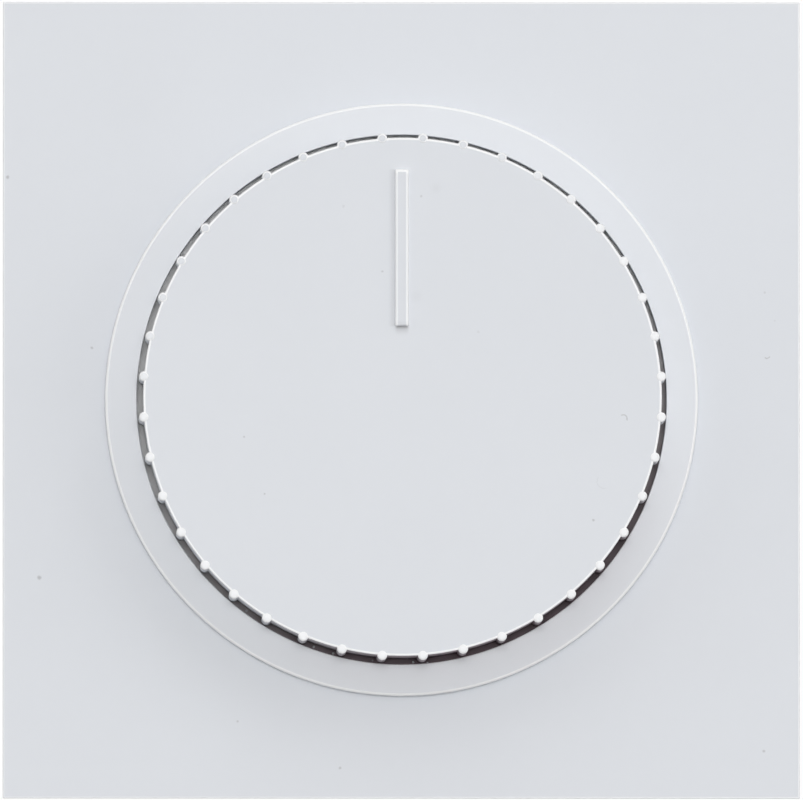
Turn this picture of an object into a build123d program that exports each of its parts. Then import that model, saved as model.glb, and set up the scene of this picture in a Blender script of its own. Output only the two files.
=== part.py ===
from build123d import *
import os
from math import cos, radians, sin, sqrt

# A rotary push dimmer for a round wall box, in millimetres.
# It is drawn lying on its back: front towards +Z, top towards +Y, wall plane at Z = 0.
# At the end each piece is turned to stand on the wall, with its front towards -Y and its top towards +Z.
# The origin is where the knob's axis meets the wall.

# Fits
RUN_GAP = 0.05            # radial, round a shaft or pin that turns
SEAT_GAP = 0.05           # between flat faces that turn or slide on each other
FIXED_GAP = 0.03          # radial, round a fastener or a pressed piece
LOOSE_GAP = 0.2           # round a piece that drops into a pocket

# Knob
KNOB_RADIUS = 22.67
KNOB_HEIGHT = 8.0         # its face above the plate
KNOB_FACE_WALL = 1.8
KNOB_SKIRT_WALL = 1.5
KNOB_EDGE = 0.3
PUSH_TRAVEL = 1.2
SKIRT_GAP = 0.4           # left under the skirt when the knob is pushed in
GRIP_COUNT = 40           # ribs on the rim
GRIP_RADIUS = 0.44
GRIP_PROUD = 0.06         # rib ends above the knob's face
GRIP_CHAMFER = 0.12
GRIP_FOOT = 0.3           # ribs stop this far above the skirt's edge
POINTER_WIDTH = 1.14
POINTER_INNER = 6.17      # from the axis to the bar's near end
POINTER_OUTER = 19.92     # from the axis to the bar's far end
POINTER_HEIGHT = 0.45
POINTER_EDGE_RADIUS = 0.12
HUB_RADIUS = 5.0
HUB_GAP = 0.3             # left between hub and bush when the knob is pushed in
HUB_SPLIT = 1.0
WEB_COUNT = 6
WEB_WIDTH = 1.0
CLIP_SHEET = 0.6
CLIP_HEIGHT = 1.6
CLIP_OPENING = 3.0
CLIP_RISE = 0.3           # from the hub's end to the clip

# Centre plate
PLATE_SIDE = 70.0
PLATE_CORNER_RADIUS = 0.25
PLATE_EDGE_RADIUS = 0.15
PLATE_FRONT = 8.0         # its face above the wall
PLATE_WALL = 2.0
PLATE_LIP = 2.0           # thickness of the edge that shows in front
PLATE_STEP = 0.5          # behind it the side steps in by this much, to go into a frame
PLATE_RIM = 1.9           # from the plate's edge to the inside of its rim
PLATE_RIB_COUNT = 8
PLATE_RIB_WIDTH = 1.0
COLLAR_WIDTH = 2.68
COLLAR_HEIGHT = 1.5
COLLAR_EDGE_RADIUS = 0.3
WELL_GAP = 0.21           # between the ribs' crests and the well
WELL_EDGE_RADIUS = 0.15
WELL_WALL = 1.6
WELL_FLOOR = 1.4
PEG_RADIUS = 1.0          # pegs on the cover that keep the plate square
PEG_HEIGHT = 1.0
PEG_OFFSET = 12.0

# Support ring
RING_INSET = 0.8          # its edge lies this far inside the plate's
RING_CORNER_RADIUS = 3.0
RING_SHEET = 1.2
RING_STEP = 1.2           # the middle is pressed forward by this much
RING_BEND_RADIUS = 0.8
RING_OPENING = 18.5
BOX_SCREW_SPACING = 60.0
BOX_SLOT_LENGTH = 6.4
BOX_SLOT_RADIUS = 2.0

# Insert body
BODY_RADIUS = 26.5
BODY_FLAT = 24.5          # from the axis to each of the four flats
BODY_WALL = 1.6
BODY_FLOOR = 1.8
BODY_EDGE = 0.8
RIM_GAP = 0.3             # between the body and the step in the ring
BOSS_RADIUS = 2.3
BOSS_X = 17.2
BOSS_Y = 15.5
SHOULDER_STEP = 1.0       # the bosses' shoulders carry the board
VENT_COUNT = 5
VENT_LENGTH = 16.0
VENT_WIDTH = 1.6
VENT_PITCH = 3.4
VENT_FIRST = 3.0          # height of the lowest vent above the axis

# Front cover and its screws
COVER_WALL = 2.0
COVER_INSET = 0.9         # its edge lies this far inside the body's
COVER_SCREW_RADIUS = 1.25
COVER_SCREW_HEAD = 2.4
COVER_SCREW_LENGTH = 12.0
COVER_VENT_COUNT = 8
COVER_VENT_LENGTH = 6.0
COVER_VENT_WIDTH = 1.4
COVER_VENT_OFFSET = 13.5
DRIVE_WIDTH = 0.8         # screwdriver slots
DRIVE_DEPTH = 0.7

# Claws
CLAW_SCREW_INSET = 2.7    # from the body's flat in to the claw screws
CLAW_SCREW_RADIUS = 1.5
CLAW_SCREW_HEAD = 2.8
CLAW_SCREW_HEAD_HEIGHT = 1.5
CLAW_SCREW_END = 1.2      # past the nut
CLAW_ARM = 3.4            # from the pivot to the screw
CLAW_PIVOT_DEPTH = 5.0    # the pivot's distance behind the wall's plane
CLAW_SHEET = 1.2
CLAW_WIDTH = 8.0
CLAW_LENGTH = 11.8        # from the pivot to the teeth
CLAW_SWING = 20.0         # degrees
CLAW_WEB = 0.35           # between the screw's slot and the leg
CLAW_EYE_RADIUS = 1.25
CLAW_PIN_RADIUS = 0.7
CLAW_PIN_SEAT = 1.0       # how far each end of the pin is let into the body
CLAW_TOOTH = 0.7
CLAW_TOOTH_COUNT = 4
CLAW_NUT_RADIUS = 2.2
CLAW_NUT_LENGTH = 6.0
NOTCH_WIDTH = 11.0

# Potentiometer
SHAFT_RADIUS = 3.0
SHAFT_FLAT = 1.5          # from the axis to the flat under the knob
SHAFT_GAP = 0.3           # from the shaft's end to the knob
STEM_RADIUS = 2.5         # shaft's thinner part, with two flats
STEM_FLAT = 2.0
SHOULDER_RADIUS = 3.9     # shaft's shoulder, which stops it at the bush
SHOULDER_HEIGHT = 1.2
BUSH_RADIUS = 5.0
BUSH_FLANGE = 1.5
BUSH_PROUD = 0.8          # bush above the plate's nut
BUSH_KEY_RADIUS = 0.8
BUSH_KEY_HEIGHT = 1.0
BUSH_KEY_OFFSET = 7.0
NUT_WIDTH = 14.0          # across flats
NUT_HEIGHT = 2.2
NUT_CHAMFER = 0.5
CAN_RADIUS = 9.0
CAN_WALL = 1.0
ROTOR_GAP = 0.45          # between shoulder and rotor when the shaft is pushed in
ROTOR_RADIUS = 7.2
ROTOR_DISC = 2.0
ROTOR_HUB = 4.0
ROTOR_SLEEVE = 6.4        # sleeve that locates the rotor under the bush
ROTOR_SLEEVE_WALL = 1.2
WIPER_HEIGHT = 1.8
WIPER_SHEET = 0.25
WIPER_WIDTH = 1.6
WIPER_LENGTH = 7.0
WIPER_OFFSET = 5.4
WAFER_THICKNESS = 1.0
WAFER_TONGUE_WIDTH = 9.0
WAFER_TONGUE_END = 11.6
POT_PIN_COUNT = 3
POT_PIN_PITCH = 2.5
POT_PIN_WIDTH = 1.0
POT_PIN_SHEET = 0.5
POT_PIN_INSET = 1.0       # from the tongue's end

# Push switch
SWITCH_SIDE = 13.0
SWITCH_WALL = 1.0
SWITCH_BASE = 1.0
PLUNGER_GAP = 0.2         # between the plunger's flange and the case at rest
PLUNGER_FLANGE_RADIUS = 4.5
PLUNGER_FLANGE = 1.4
PLUNGER_PIN_RADIUS = 1.5
PLUNGER_END_GAP = 0.8     # left under the plunger's pin when it is pushed in
BRIDGE_LENGTH = 10.4
BRIDGE_WIDTH = 3.4
BRIDGE_SHEET = 0.4
SPRING_LENGTH = 4.0
SPRING_RADIUS = 2.6
SPRING_WIRE = 0.5
SPRING_TURNS = 4
POST_RADIUS = 0.8
POST_OFFSET = 4.4

# Circuit board and what stands on it
BOARD_THICKNESS = 1.6
BOARD_GAP = 0.4
SINK_HALF_WIDTH = 11.8
SINK_SHEET = 1.2
SINK_GAP = 0.46           # from its corners to the body's wall
SINK_WING_GAP = 0.4       # from the bent wings to the round capacitor
SINK_TOP_GAP = 0.8        # below the cover
TRANSISTOR_X = 5.2
TRANSISTOR_WIDTH = 9.8
TRANSISTOR_DEPTH = 4.4
TRANSISTOR_BODY = 9.2
TRANSISTOR_TAB = 1.3
TRANSISTOR_HEIGHT = 15.5
TRANSISTOR_LIFT = 1.4     # body above the board
TRANSISTOR_HOLE_INSET = 3.0
LEAD_WIDTH = 0.8
LEAD_SHEET = 0.5
LEAD_PITCH = 2.54
TAB_SCREW_RADIUS = 1.5
TAB_SCREW_HEAD = 2.6
TAB_SCREW_HEAD_HEIGHT = 1.6
TAB_SCREW_PROUD = 0.7     # past the heat sink
CHOKE_X = -9.8
CHOKE_GAP = 1.8           # to the body's wall
CHOKE_RADIUS = 5.0
CHOKE_NECK = 2.5
CHOKE_HEIGHT = 14.0
CHOKE_FLANGE = 1.5
WINDING_INSET = 0.4       # winding inside the core's flanges
FILM_CAP_X = 9.7
FILM_CAP_GAP = 0.78       # from its corner to the body's wall
FILM_CAP_WIDTH = 9.0
FILM_CAP_DEPTH = 7.0
FILM_CAP_HEIGHT = 12.0
FILM_CAP_EDGE = 0.4
CAN_CAP_X = -12.4
CAN_CAP_Y = 10.8
CAN_CAP_RADIUS = 4.0
CAN_CAP_HEIGHT = 12.0
CAN_CAP_EDGE = 0.5
CAN_CAP_GROOVE = 0.3
CAN_CAP_GROOVE_RISE = 1.6
VARISTOR_X = 12.0
VARISTOR_Y = 11.0
VARISTOR_RADIUS = 4.8
VARISTOR_THICKNESS = 2.8
VARISTOR_LIFT = 1.5
VARISTOR_EDGE = 0.9
VARISTOR_PITCH = 5.0
RESISTOR_X = 11.2
RESISTOR_PITCH = 2.8
RESISTOR_COUNT = 2
RESISTOR_RADIUS = 1.1
RESISTOR_LENGTH = 6.4
RESISTOR_SPAN = 9.6
WIRE_RADIUS = 0.3
CHIP_X = -11.6
CHIP_WIDTH = 3.9
CHIP_LENGTH = 8.7
CHIP_HEIGHT = 1.5
CHIP_LIFT = 0.2
CHIP_LEG_COUNT = 6        # on each side
CHIP_LEG_PITCH = 1.27
CHIP_LEG_REACH = 1.0
CHIP_LEG_WIDTH = 0.4
CHIP_LEG_HEIGHT = 0.9

# Terminals
TERMINAL_COUNT = 3
TERMINAL_PITCH = 7.2
TERMINAL_DEPTH = 8.4      # from the board to the insert's back
TERMINAL_GAP = 1.68       # from the block's corners to the body's wall
TERMINAL_HEIGHT = 10.0
TERMINAL_END_WALL = 1.7
WIRE_HOLE_RADIUS = 1.7
WIRE_FUNNEL = 0.6
TERMINAL_FLOOR = 2.4      # wall that the wires go in through
CAGE_WIDTH = 5.4
CAGE_HEIGHT = 6.2
CAGE_WALL = 1.3
CAGE_SIDE = 0.9
CAGE_SCREW_RISE = 2.9     # screws below the board
CAGE_SCREW_RADIUS = 1.4
CAGE_SCREW_HEAD = 1.9
CAGE_SCREW_HEAD_HEIGHT = 1.4
CAGE_SCREW_LENGTH = 2.0
DRIVER_HOLE_RADIUS = 2.4

# Radii worked out from the fits
WELL_RADIUS = KNOB_RADIUS + GRIP_RADIUS + WELL_GAP
COLLAR_RADIUS = WELL_RADIUS + COLLAR_WIDTH
RING_SIDE = PLATE_SIDE - 2 * RING_INSET

# Levels in front of the wall, from the ring out to the knob's face
FLANGE_BACK = RING_STEP
FLANGE_FRONT = FLANGE_BACK + RING_SHEET
COVER_FRONT = FLANGE_FRONT + COVER_WALL
WELL_BOTTOM = COVER_FRONT + WELL_FLOOR
NUT_FRONT = WELL_BOTTOM + NUT_HEIGHT
BUSH_FRONT = NUT_FRONT + BUSH_PROUD
COLLAR_TOP = PLATE_FRONT + COLLAR_HEIGHT
KNOB_FACE = PLATE_FRONT + KNOB_HEIGHT
KNOB_CEILING = KNOB_FACE - KNOB_FACE_WALL
SKIRT_END = WELL_BOTTOM + PUSH_TRAVEL + SKIRT_GAP
HUB_END = BUSH_FRONT + PUSH_TRAVEL + HUB_GAP
SHAFT_FRONT = KNOB_CEILING - SHAFT_GAP
CLIP_BACK = HUB_END + CLIP_RISE
CLIP_FRONT = CLIP_BACK + CLIP_HEIGHT
WEB_END = CLIP_FRONT + LOOSE_GAP

# Levels behind the cover, from the bush back to the terminals
COVER_BACK = FLANGE_BACK
BUSH_BACK = COVER_BACK - BUSH_FLANGE
SHOULDER_FRONT = BUSH_BACK - SEAT_GAP
SHOULDER_BACK = SHOULDER_FRONT - SHOULDER_HEIGHT
ROTOR_FRONT = SHOULDER_BACK - PUSH_TRAVEL - ROTOR_GAP
ROTOR_BACK = ROTOR_FRONT - ROTOR_DISC
WAFER_FRONT = ROTOR_BACK - WIPER_HEIGHT
WAFER_BACK = WAFER_FRONT - WAFER_THICKNESS
CAN_BACK = WAFER_BACK - CAN_WALL
SWITCH_CEILING = CAN_BACK - SWITCH_WALL
FLANGE_STOP = SWITCH_CEILING - PLUNGER_GAP
BRIDGE_FRONT = FLANGE_STOP - PLUNGER_FLANGE
BRIDGE_BACK = BRIDGE_FRONT - BRIDGE_SHEET
BASE_FRONT = BRIDGE_BACK - SPRING_LENGTH
BOARD_FRONT = BASE_FRONT - SWITCH_BASE
BOARD_BACK = BOARD_FRONT - BOARD_THICKNESS
BODY_BACK = BOARD_BACK - TERMINAL_DEPTH

# Claw linkage, seen on the right-hand side
CLAW_SCREW_X = BODY_FLAT - CLAW_SCREW_INSET
PIVOT_X = CLAW_SCREW_X - CLAW_ARM
PIVOT_Z = -CLAW_PIVOT_DEPTH
NOTCH_FLOOR = PIVOT_X - CLAW_EYE_RADIUS - LOOSE_GAP
CLAW_SLOT_RADIUS = CLAW_SCREW_RADIUS + LOOSE_GAP
CLAW_SLOT_INNER = CLAW_SCREW_X - CLAW_SLOT_RADIUS
CLAW_SLOT_RUN = CLAW_ARM + CLAW_SLOT_RADIUS + CLAW_SHEET * sin(radians(CLAW_SWING))
CLAW_SLOT_REACH = CLAW_SLOT_RUN / cos(radians(CLAW_SWING))
CLAW_SLOT_OUTER = PIVOT_X + CLAW_SLOT_REACH
CLAW_LEG_INNER = CLAW_SLOT_OUTER + CLAW_WEB
CLAW_LEG_OUTER = CLAW_LEG_INNER + CLAW_SHEET
CLAW_NUT_Z = PIVOT_Z - SEAT_GAP - CLAW_NUT_RADIUS


def wall_reach(half_width, gap):
    """How far out a piece reaches when a gap is left to the nearer of the body's round wall and its flat."""
    inside_round = sqrt((BODY_RADIUS - BODY_WALL - gap) ** 2 - half_width ** 2)
    return min(inside_round, BODY_FLAT - BODY_WALL - gap)


# What stands in the body near its wall
TAB_SCREW_REACH = wall_reach(TRANSISTOR_X, SINK_GAP) - TAB_SCREW_PROUD
SINK_Y = min(wall_reach(SINK_HALF_WIDTH, SINK_GAP), TAB_SCREW_REACH) - SINK_SHEET
SINK_WING = SINK_Y - CAN_CAP_Y - CAN_CAP_RADIUS - SINK_WING_GAP
CHOKE_Y = -wall_reach(CHOKE_X, CHOKE_GAP + CHOKE_RADIUS)
FILM_CAP_Y = FILM_CAP_DEPTH / 2 - wall_reach(FILM_CAP_X + FILM_CAP_WIDTH / 2, FILM_CAP_GAP)
TERMINAL_WIDTH = (TERMINAL_COUNT - 1) * TERMINAL_PITCH + CAGE_WIDTH + 2 * (LOOSE_GAP + TERMINAL_END_WALL)
TERMINAL_REACH = wall_reach(TERMINAL_WIDTH / 2, TERMINAL_GAP)
TERMINAL_Y = TERMINAL_HEIGHT / 2 - TERMINAL_REACH

BOSS_PLACES = [(x, y) for x in (-BOSS_X, BOSS_X) for y in (-BOSS_Y, BOSS_Y)]
TERMINAL_PLACES = [(i - (TERMINAL_COUNT - 1) / 2) * TERMINAL_PITCH for i in range(TERMINAL_COUNT)]
TRANSISTOR_PLACES = (-TRANSISTOR_X, TRANSISTOR_X)


def rise(plan, low, high):
    """A plan drawn in the wall's plane, made solid from one level to another."""
    return extrude(Pos(0, 0, low) * plan, high - low)


def disc(radius, low, high, x=0, y=0):
    return Pos(x, y, (low + high) / 2) * Cylinder(radius, high - low)


def block(width, height, low, high, x=0, y=0):
    return Pos(x, y, (low + high) / 2) * Box(width, height, high - low)


def upright(radius, low, high, x, z):
    """A round rod along Y."""
    return Pos(x, (low + high) / 2, z) * Rot(90, 0, 0) * Cylinder(radius, high - low)


def top_edges(solid):
    return solid.edges().group_by(Axis.Z)[-1]


def mirrored(solid):
    """The left-hand twin of a right-hand piece."""
    return mirror(solid, about=Plane.YZ)


def both_sides(solid):
    return solid + mirrored(solid)


def group(solids):
    """Like pieces that share one node, each still a solid of its own."""
    return Compound([one for solid in solids for one in solid.solids()])


def body_plan(gap):
    """The insert's plan, a circle with four flats, grown all round by a gap."""
    return Circle(BODY_RADIUS + gap) & Rectangle(2 * (BODY_FLAT + gap), 2 * (BODY_FLAT + gap))


def notch_plan(gap):
    """Plan of the two side channels that the claws lie in, widened all round by a gap."""
    length = BODY_RADIUS - NOTCH_FLOOR + gap
    channel = Pos(NOTCH_FLOOR - gap + length / 2, 0) * Rectangle(length, NOTCH_WIDTH + 2 * gap)
    return channel + Rot(0, 0, 180) * channel


def flat_bore(radius, flats, low, high):
    """A round rod with one flat below it, or with a flat on each side."""
    rod = disc(radius, low, high)
    for side in flats:
        rod -= block(2 * radius, radius, low, high, y=side + (radius if side > 0 else -radius) / 2)
    return rod


def knob():
    """One moulding: a cap with a raised pointer, rim ribs, a split hub with a flat-sided bore, and webs."""
    cap = disc(KNOB_RADIUS, SKIRT_END, KNOB_FACE)
    cap = chamfer(top_edges(cap), KNOB_EDGE)
    cap -= disc(KNOB_RADIUS - KNOB_SKIRT_WALL, SKIRT_END, KNOB_CEILING)
    web_length = KNOB_RADIUS - KNOB_SKIRT_WALL / 2
    web = block(web_length, WEB_WIDTH, WEB_END, KNOB_CEILING, x=web_length / 2)
    cap += [turn * web for turn in PolarLocations(0, WEB_COUNT)]
    cap += disc(HUB_RADIUS, HUB_END, KNOB_CEILING)
    cap -= flat_bore(SHAFT_RADIUS + FIXED_GAP, [-SHAFT_FLAT - FIXED_GAP], HUB_END, KNOB_CEILING)
    cap -= block(2 * HUB_RADIUS, HUB_SPLIT, HUB_END, WEB_END)
    grip = disc(GRIP_RADIUS, SKIRT_END + GRIP_FOOT, KNOB_FACE + GRIP_PROUD)
    grip = chamfer(top_edges(grip), GRIP_CHAMFER)
    half_step = 180 / GRIP_COUNT
    cap += [place * grip for place in PolarLocations(KNOB_RADIUS, GRIP_COUNT, start_angle=90 + half_step)]
    bar_middle = (POINTER_INNER + POINTER_OUTER) / 2
    bar_top = KNOB_FACE + POINTER_HEIGHT
    bar = block(POINTER_WIDTH, POINTER_OUTER - POINTER_INNER, KNOB_CEILING, bar_top, y=bar_middle)
    return cap + fillet(top_edges(bar), POINTER_EDGE_RADIUS)


def knob_clip():
    """An open steel ring round the split hub, which presses it on to the shaft."""
    inner = HUB_RADIUS + FIXED_GAP
    ring = disc(inner + CLIP_SHEET, CLIP_BACK, CLIP_FRONT) - disc(inner, CLIP_BACK, CLIP_FRONT)
    return ring - block(CLIP_OPENING, 2 * inner, CLIP_BACK, CLIP_FRONT, y=inner)


def centre_plate():
    """One moulding: a shallow square tray with a collar, a deep well for the knob and stiffening ribs."""
    lip_back = PLATE_FRONT - PLATE_LIP
    tray = rise(RectangleRounded(PLATE_SIDE, PLATE_SIDE, PLATE_CORNER_RADIUS), lip_back, PLATE_FRONT)
    tray = fillet(top_edges(tray), PLATE_EDGE_RADIUS)
    rim_side = PLATE_SIDE - 2 * PLATE_STEP
    tray += rise(RectangleRounded(rim_side, rim_side, PLATE_CORNER_RADIUS), RING_SHEET, lip_back)
    inside = PLATE_SIDE - 2 * PLATE_RIM
    tray -= block(inside, inside, RING_SHEET, PLATE_FRONT - PLATE_WALL)
    rib_low = COVER_FRONT + LOOSE_GAP
    rib = block(inside / 2, PLATE_RIB_WIDTH, rib_low, PLATE_FRONT - PLATE_WALL, x=inside / 4)
    tray += [turn * rib for turn in PolarLocations(0, PLATE_RIB_COUNT)]
    tray += disc(WELL_RADIUS + WELL_WALL, COVER_FRONT, PLATE_FRONT)
    tray += disc(COLLAR_RADIUS, PLATE_FRONT - PLATE_WALL, COLLAR_TOP)
    tray -= disc(WELL_RADIUS, WELL_BOTTOM, COLLAR_TOP)
    rims = top_edges(tray).sort_by(SortBy.RADIUS)
    tray = fillet(rims[-1], COLLAR_EDGE_RADIUS)
    tray = fillet(top_edges(tray).sort_by(SortBy.RADIUS)[0], WELL_EDGE_RADIUS)
    tray -= disc(BUSH_RADIUS + LOOSE_GAP, COVER_FRONT, WELL_BOTTOM)
    return tray - both_sides(disc(PEG_RADIUS + LOOSE_GAP, COVER_FRONT, WELL_BOTTOM, x=PEG_OFFSET))


def plate_nut():
    """A thin hexagonal nut with turned corners."""
    hexagon = rise(RegularPolygon(NUT_WIDTH / 2, 6, major_radius=False), WELL_BOTTOM, NUT_FRONT)
    corner = NUT_WIDTH / 2 + NUT_CHAMFER
    blank = disc(corner, WELL_BOTTOM, NUT_FRONT)
    blank = chamfer(top_edges(blank), NUT_CHAMFER)
    return (hexagon & blank) - disc(BUSH_RADIUS + FIXED_GAP, WELL_BOTTOM, NUT_FRONT)


def support_ring():
    """Pressed steel: flat on the wall, with its middle stepped forward to hold the insert."""
    sheet = rise(RectangleRounded(RING_SIDE, RING_SIDE, RING_CORNER_RADIUS), 0, RING_SHEET)
    dish = rise(body_plan(RIM_GAP + RING_SHEET), 0, FLANGE_FRONT)
    sheet += fillet(top_edges(dish), RING_BEND_RADIUS)
    sheet -= rise(body_plan(RIM_GAP), 0, FLANGE_BACK)
    sheet -= disc(RING_OPENING, FLANGE_BACK, FLANGE_FRONT)
    sheet -= both_sides(disc(CLAW_SLOT_RADIUS, FLANGE_BACK, FLANGE_FRONT, x=CLAW_SCREW_X))
    sheet -= [disc(COVER_SCREW_RADIUS + LOOSE_GAP, FLANGE_BACK, FLANGE_FRONT, x, y) for x, y in BOSS_PLACES]
    slot = rise(SlotOverall(BOX_SLOT_LENGTH, 2 * BOX_SLOT_RADIUS), 0, RING_SHEET)
    places = PolarLocations(BOX_SCREW_SPACING / 2, 4)
    return sheet - [place * slot for place in places]


def front_cover():
    """The insert's moulded lid: a plate on the ring with a spigot, pegs, vents and screw holes."""
    lid = rise(body_plan(-COVER_INSET), FLANGE_FRONT, COVER_FRONT)
    lid += disc(RING_OPENING - LOOSE_GAP, COVER_BACK, FLANGE_FRONT)
    head_room = CLAW_SCREW_HEAD + LOOSE_GAP
    reach = BODY_RADIUS - CLAW_SCREW_X
    bay = disc(head_room, FLANGE_FRONT, COVER_FRONT, x=CLAW_SCREW_X)
    bay += block(reach, 2 * head_room, FLANGE_FRONT, COVER_FRONT, x=CLAW_SCREW_X + reach / 2)
    lid -= both_sides(bay)
    lid -= disc(BUSH_RADIUS + LOOSE_GAP, COVER_BACK, COVER_FRONT)
    key_end = COVER_BACK + BUSH_KEY_HEIGHT + LOOSE_GAP
    lid -= disc(BUSH_KEY_RADIUS + FIXED_GAP, COVER_BACK, key_end, y=BUSH_KEY_OFFSET)
    vent = rise(SlotOverall(COVER_VENT_LENGTH, COVER_VENT_WIDTH), COVER_BACK, COVER_FRONT)
    places = PolarLocations(COVER_VENT_OFFSET, COVER_VENT_COUNT, start_angle=180 / COVER_VENT_COUNT)
    lid -= [place * vent for place in places]
    lid -= [Pos(x, y) * screw_blank(FIXED_GAP) for x, y in BOSS_PLACES]
    peg = disc(PEG_RADIUS, COVER_FRONT, COVER_FRONT + PEG_HEIGHT, x=PEG_OFFSET)
    return lid + both_sides(peg)


def screw_blank(gap):
    """A countersunk cover screw without its drive slot, or with a gap, the space that it goes in."""
    taper = COVER_SCREW_HEAD - COVER_SCREW_RADIUS
    outline = Polyline(
        (0, COVER_FRONT),
        (COVER_SCREW_HEAD + gap, COVER_FRONT),
        (COVER_SCREW_RADIUS + gap, COVER_FRONT - taper),
        (COVER_SCREW_RADIUS + gap, COVER_FRONT - COVER_SCREW_LENGTH - gap),
        (0, COVER_FRONT - COVER_SCREW_LENGTH - gap),
        close=True,
    )
    return revolve(Plane.XZ * make_face(outline), Axis.Z)


def cover_screws():
    screw = screw_blank(0)
    screw -= block(2 * COVER_SCREW_HEAD, DRIVE_WIDTH, COVER_FRONT - DRIVE_DEPTH, COVER_FRONT)
    return group([Pos(x, y) * screw for x, y in BOSS_PLACES])


def housing():
    """The insert's moulded body: a cup with bosses, claw channels, vents and a window for the terminals."""
    cup = rise(body_plan(0), BODY_BACK, FLANGE_BACK)
    cup = chamfer(cup.edges().group_by(Axis.Z)[0], BODY_EDGE)
    cup -= rise(notch_plan(0), BODY_BACK, FLANGE_BACK)
    floor = BODY_BACK + BODY_FLOOR
    cup -= rise(body_plan(-BODY_WALL) - notch_plan(BODY_WALL), floor, FLANGE_BACK)
    inside = rise(body_plan(-BODY_WALL / 2), BODY_BACK, FLANGE_BACK)
    for x, y in BOSS_PLACES:
        boss = disc(BOSS_RADIUS, floor, FLANGE_BACK, x, y)
        boss += disc(BOSS_RADIUS + SHOULDER_STEP, floor, BOARD_BACK, x, y)
        cup += boss & inside
    cup -= [Pos(x, y) * screw_blank(FIXED_GAP) for x, y in BOSS_PLACES]
    pin_reach = NOTCH_WIDTH / 2 + CLAW_PIN_SEAT
    cup -= both_sides(upright(CLAW_PIN_RADIUS + FIXED_GAP, -pin_reach, pin_reach, PIVOT_X, PIVOT_Z))
    cup -= rise(terminal_plan(LOOSE_GAP), BODY_BACK, floor)
    hole = upright(DRIVER_HOLE_RADIUS, -BODY_RADIUS, -TERMINAL_REACH, 0, BOARD_BACK - CAGE_SCREW_RISE)
    cup -= [Pos(x, 0, 0) * hole for x in TERMINAL_PLACES]
    vent = rise(SlotOverall(VENT_LENGTH, VENT_WIDTH), BODY_BACK, floor)
    return cup - [Pos(0, VENT_FIRST + i * VENT_PITCH, 0) * vent for i in range(VENT_COUNT)]


def claw():
    """A steel lever: an eye on the pivot pin, an arm that the nut lifts, and a toothed leg."""
    arm_length = CLAW_LEG_OUTER - PIVOT_X
    leg_end = PIVOT_Z - CLAW_LENGTH
    leg_length = CLAW_LENGTH + CLAW_SHEET
    profile = Pos(PIVOT_X + arm_length / 2, PIVOT_Z + CLAW_SHEET / 2) * Rectangle(arm_length, CLAW_SHEET)
    leg_x = CLAW_LEG_INNER + CLAW_SHEET / 2
    profile += Pos(leg_x, leg_end + leg_length / 2) * Rectangle(CLAW_SHEET, leg_length)
    tooth_x = CLAW_LEG_OUTER + CLAW_TOOTH / 2
    profile += Pos(tooth_x, leg_end + CLAW_SHEET / 2) * Rectangle(CLAW_TOOTH, CLAW_SHEET)
    bend = profile.vertices().group_by(Axis.Y)[-1].sort_by(Axis.X)[-1]
    profile = fillet(bend, CLAW_SHEET)
    profile += Pos(PIVOT_X, PIVOT_Z) * Circle(CLAW_EYE_RADIUS)
    profile -= Pos(PIVOT_X, PIVOT_Z) * Circle(CLAW_PIN_RADIUS + RUN_GAP)
    lever = extrude(Plane.XZ * profile, CLAW_WIDTH / 2, both=True)
    slot_length = CLAW_SLOT_OUTER - CLAW_SLOT_INNER
    slot_middle = (CLAW_SLOT_OUTER + CLAW_SLOT_INNER) / 2
    slot = Pos(slot_middle, 0) * SlotOverall(slot_length, 2 * CLAW_SLOT_RADIUS)
    lever -= rise(slot, PIVOT_Z, PIVOT_Z + CLAW_SHEET)
    pitch = CLAW_WIDTH / CLAW_TOOTH_COUNT
    tip = CLAW_LEG_OUTER + CLAW_TOOTH
    valley = make_face(Polyline((CLAW_LEG_OUTER, 0), (tip, pitch / 2), (tip, -pitch / 2), close=True))
    cut = rise(valley, leg_end, leg_end + CLAW_SHEET)
    places = [(i - CLAW_TOOTH_COUNT / 2) * pitch for i in range(CLAW_TOOTH_COUNT + 1)]
    return lever - [Pos(0, y, 0) * cut for y in places]


def claw_screw():
    """A slotted pan-head screw, held by its head on the ring."""
    end = CLAW_NUT_Z - CLAW_NUT_RADIUS - CLAW_SCREW_END
    head_top = FLANGE_FRONT + SEAT_GAP + CLAW_SCREW_HEAD_HEIGHT
    screw = disc(CLAW_SCREW_RADIUS, end, head_top - DRIVE_DEPTH)
    screw += disc(CLAW_SCREW_HEAD, FLANGE_FRONT + SEAT_GAP, head_top)
    screw -= block(2 * CLAW_SCREW_HEAD, DRIVE_WIDTH, head_top - DRIVE_DEPTH, head_top)
    return Pos(CLAW_SCREW_X, 0, 0) * screw


def claw_nut():
    """A round cross nut, so that the arm rolls on it as it is lifted."""
    nut = upright(CLAW_NUT_RADIUS, -CLAW_NUT_LENGTH / 2, CLAW_NUT_LENGTH / 2, CLAW_SCREW_X, CLAW_NUT_Z)
    bore = CLAW_SCREW_RADIUS + RUN_GAP
    return nut - disc(bore, CLAW_NUT_Z - CLAW_NUT_RADIUS, CLAW_NUT_Z + CLAW_NUT_RADIUS, x=CLAW_SCREW_X)


def claw_pins():
    reach = NOTCH_WIDTH / 2 + CLAW_PIN_SEAT
    pin = upright(CLAW_PIN_RADIUS, -reach, reach, PIVOT_X, PIVOT_Z)
    return group([pin, mirrored(pin)])


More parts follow.
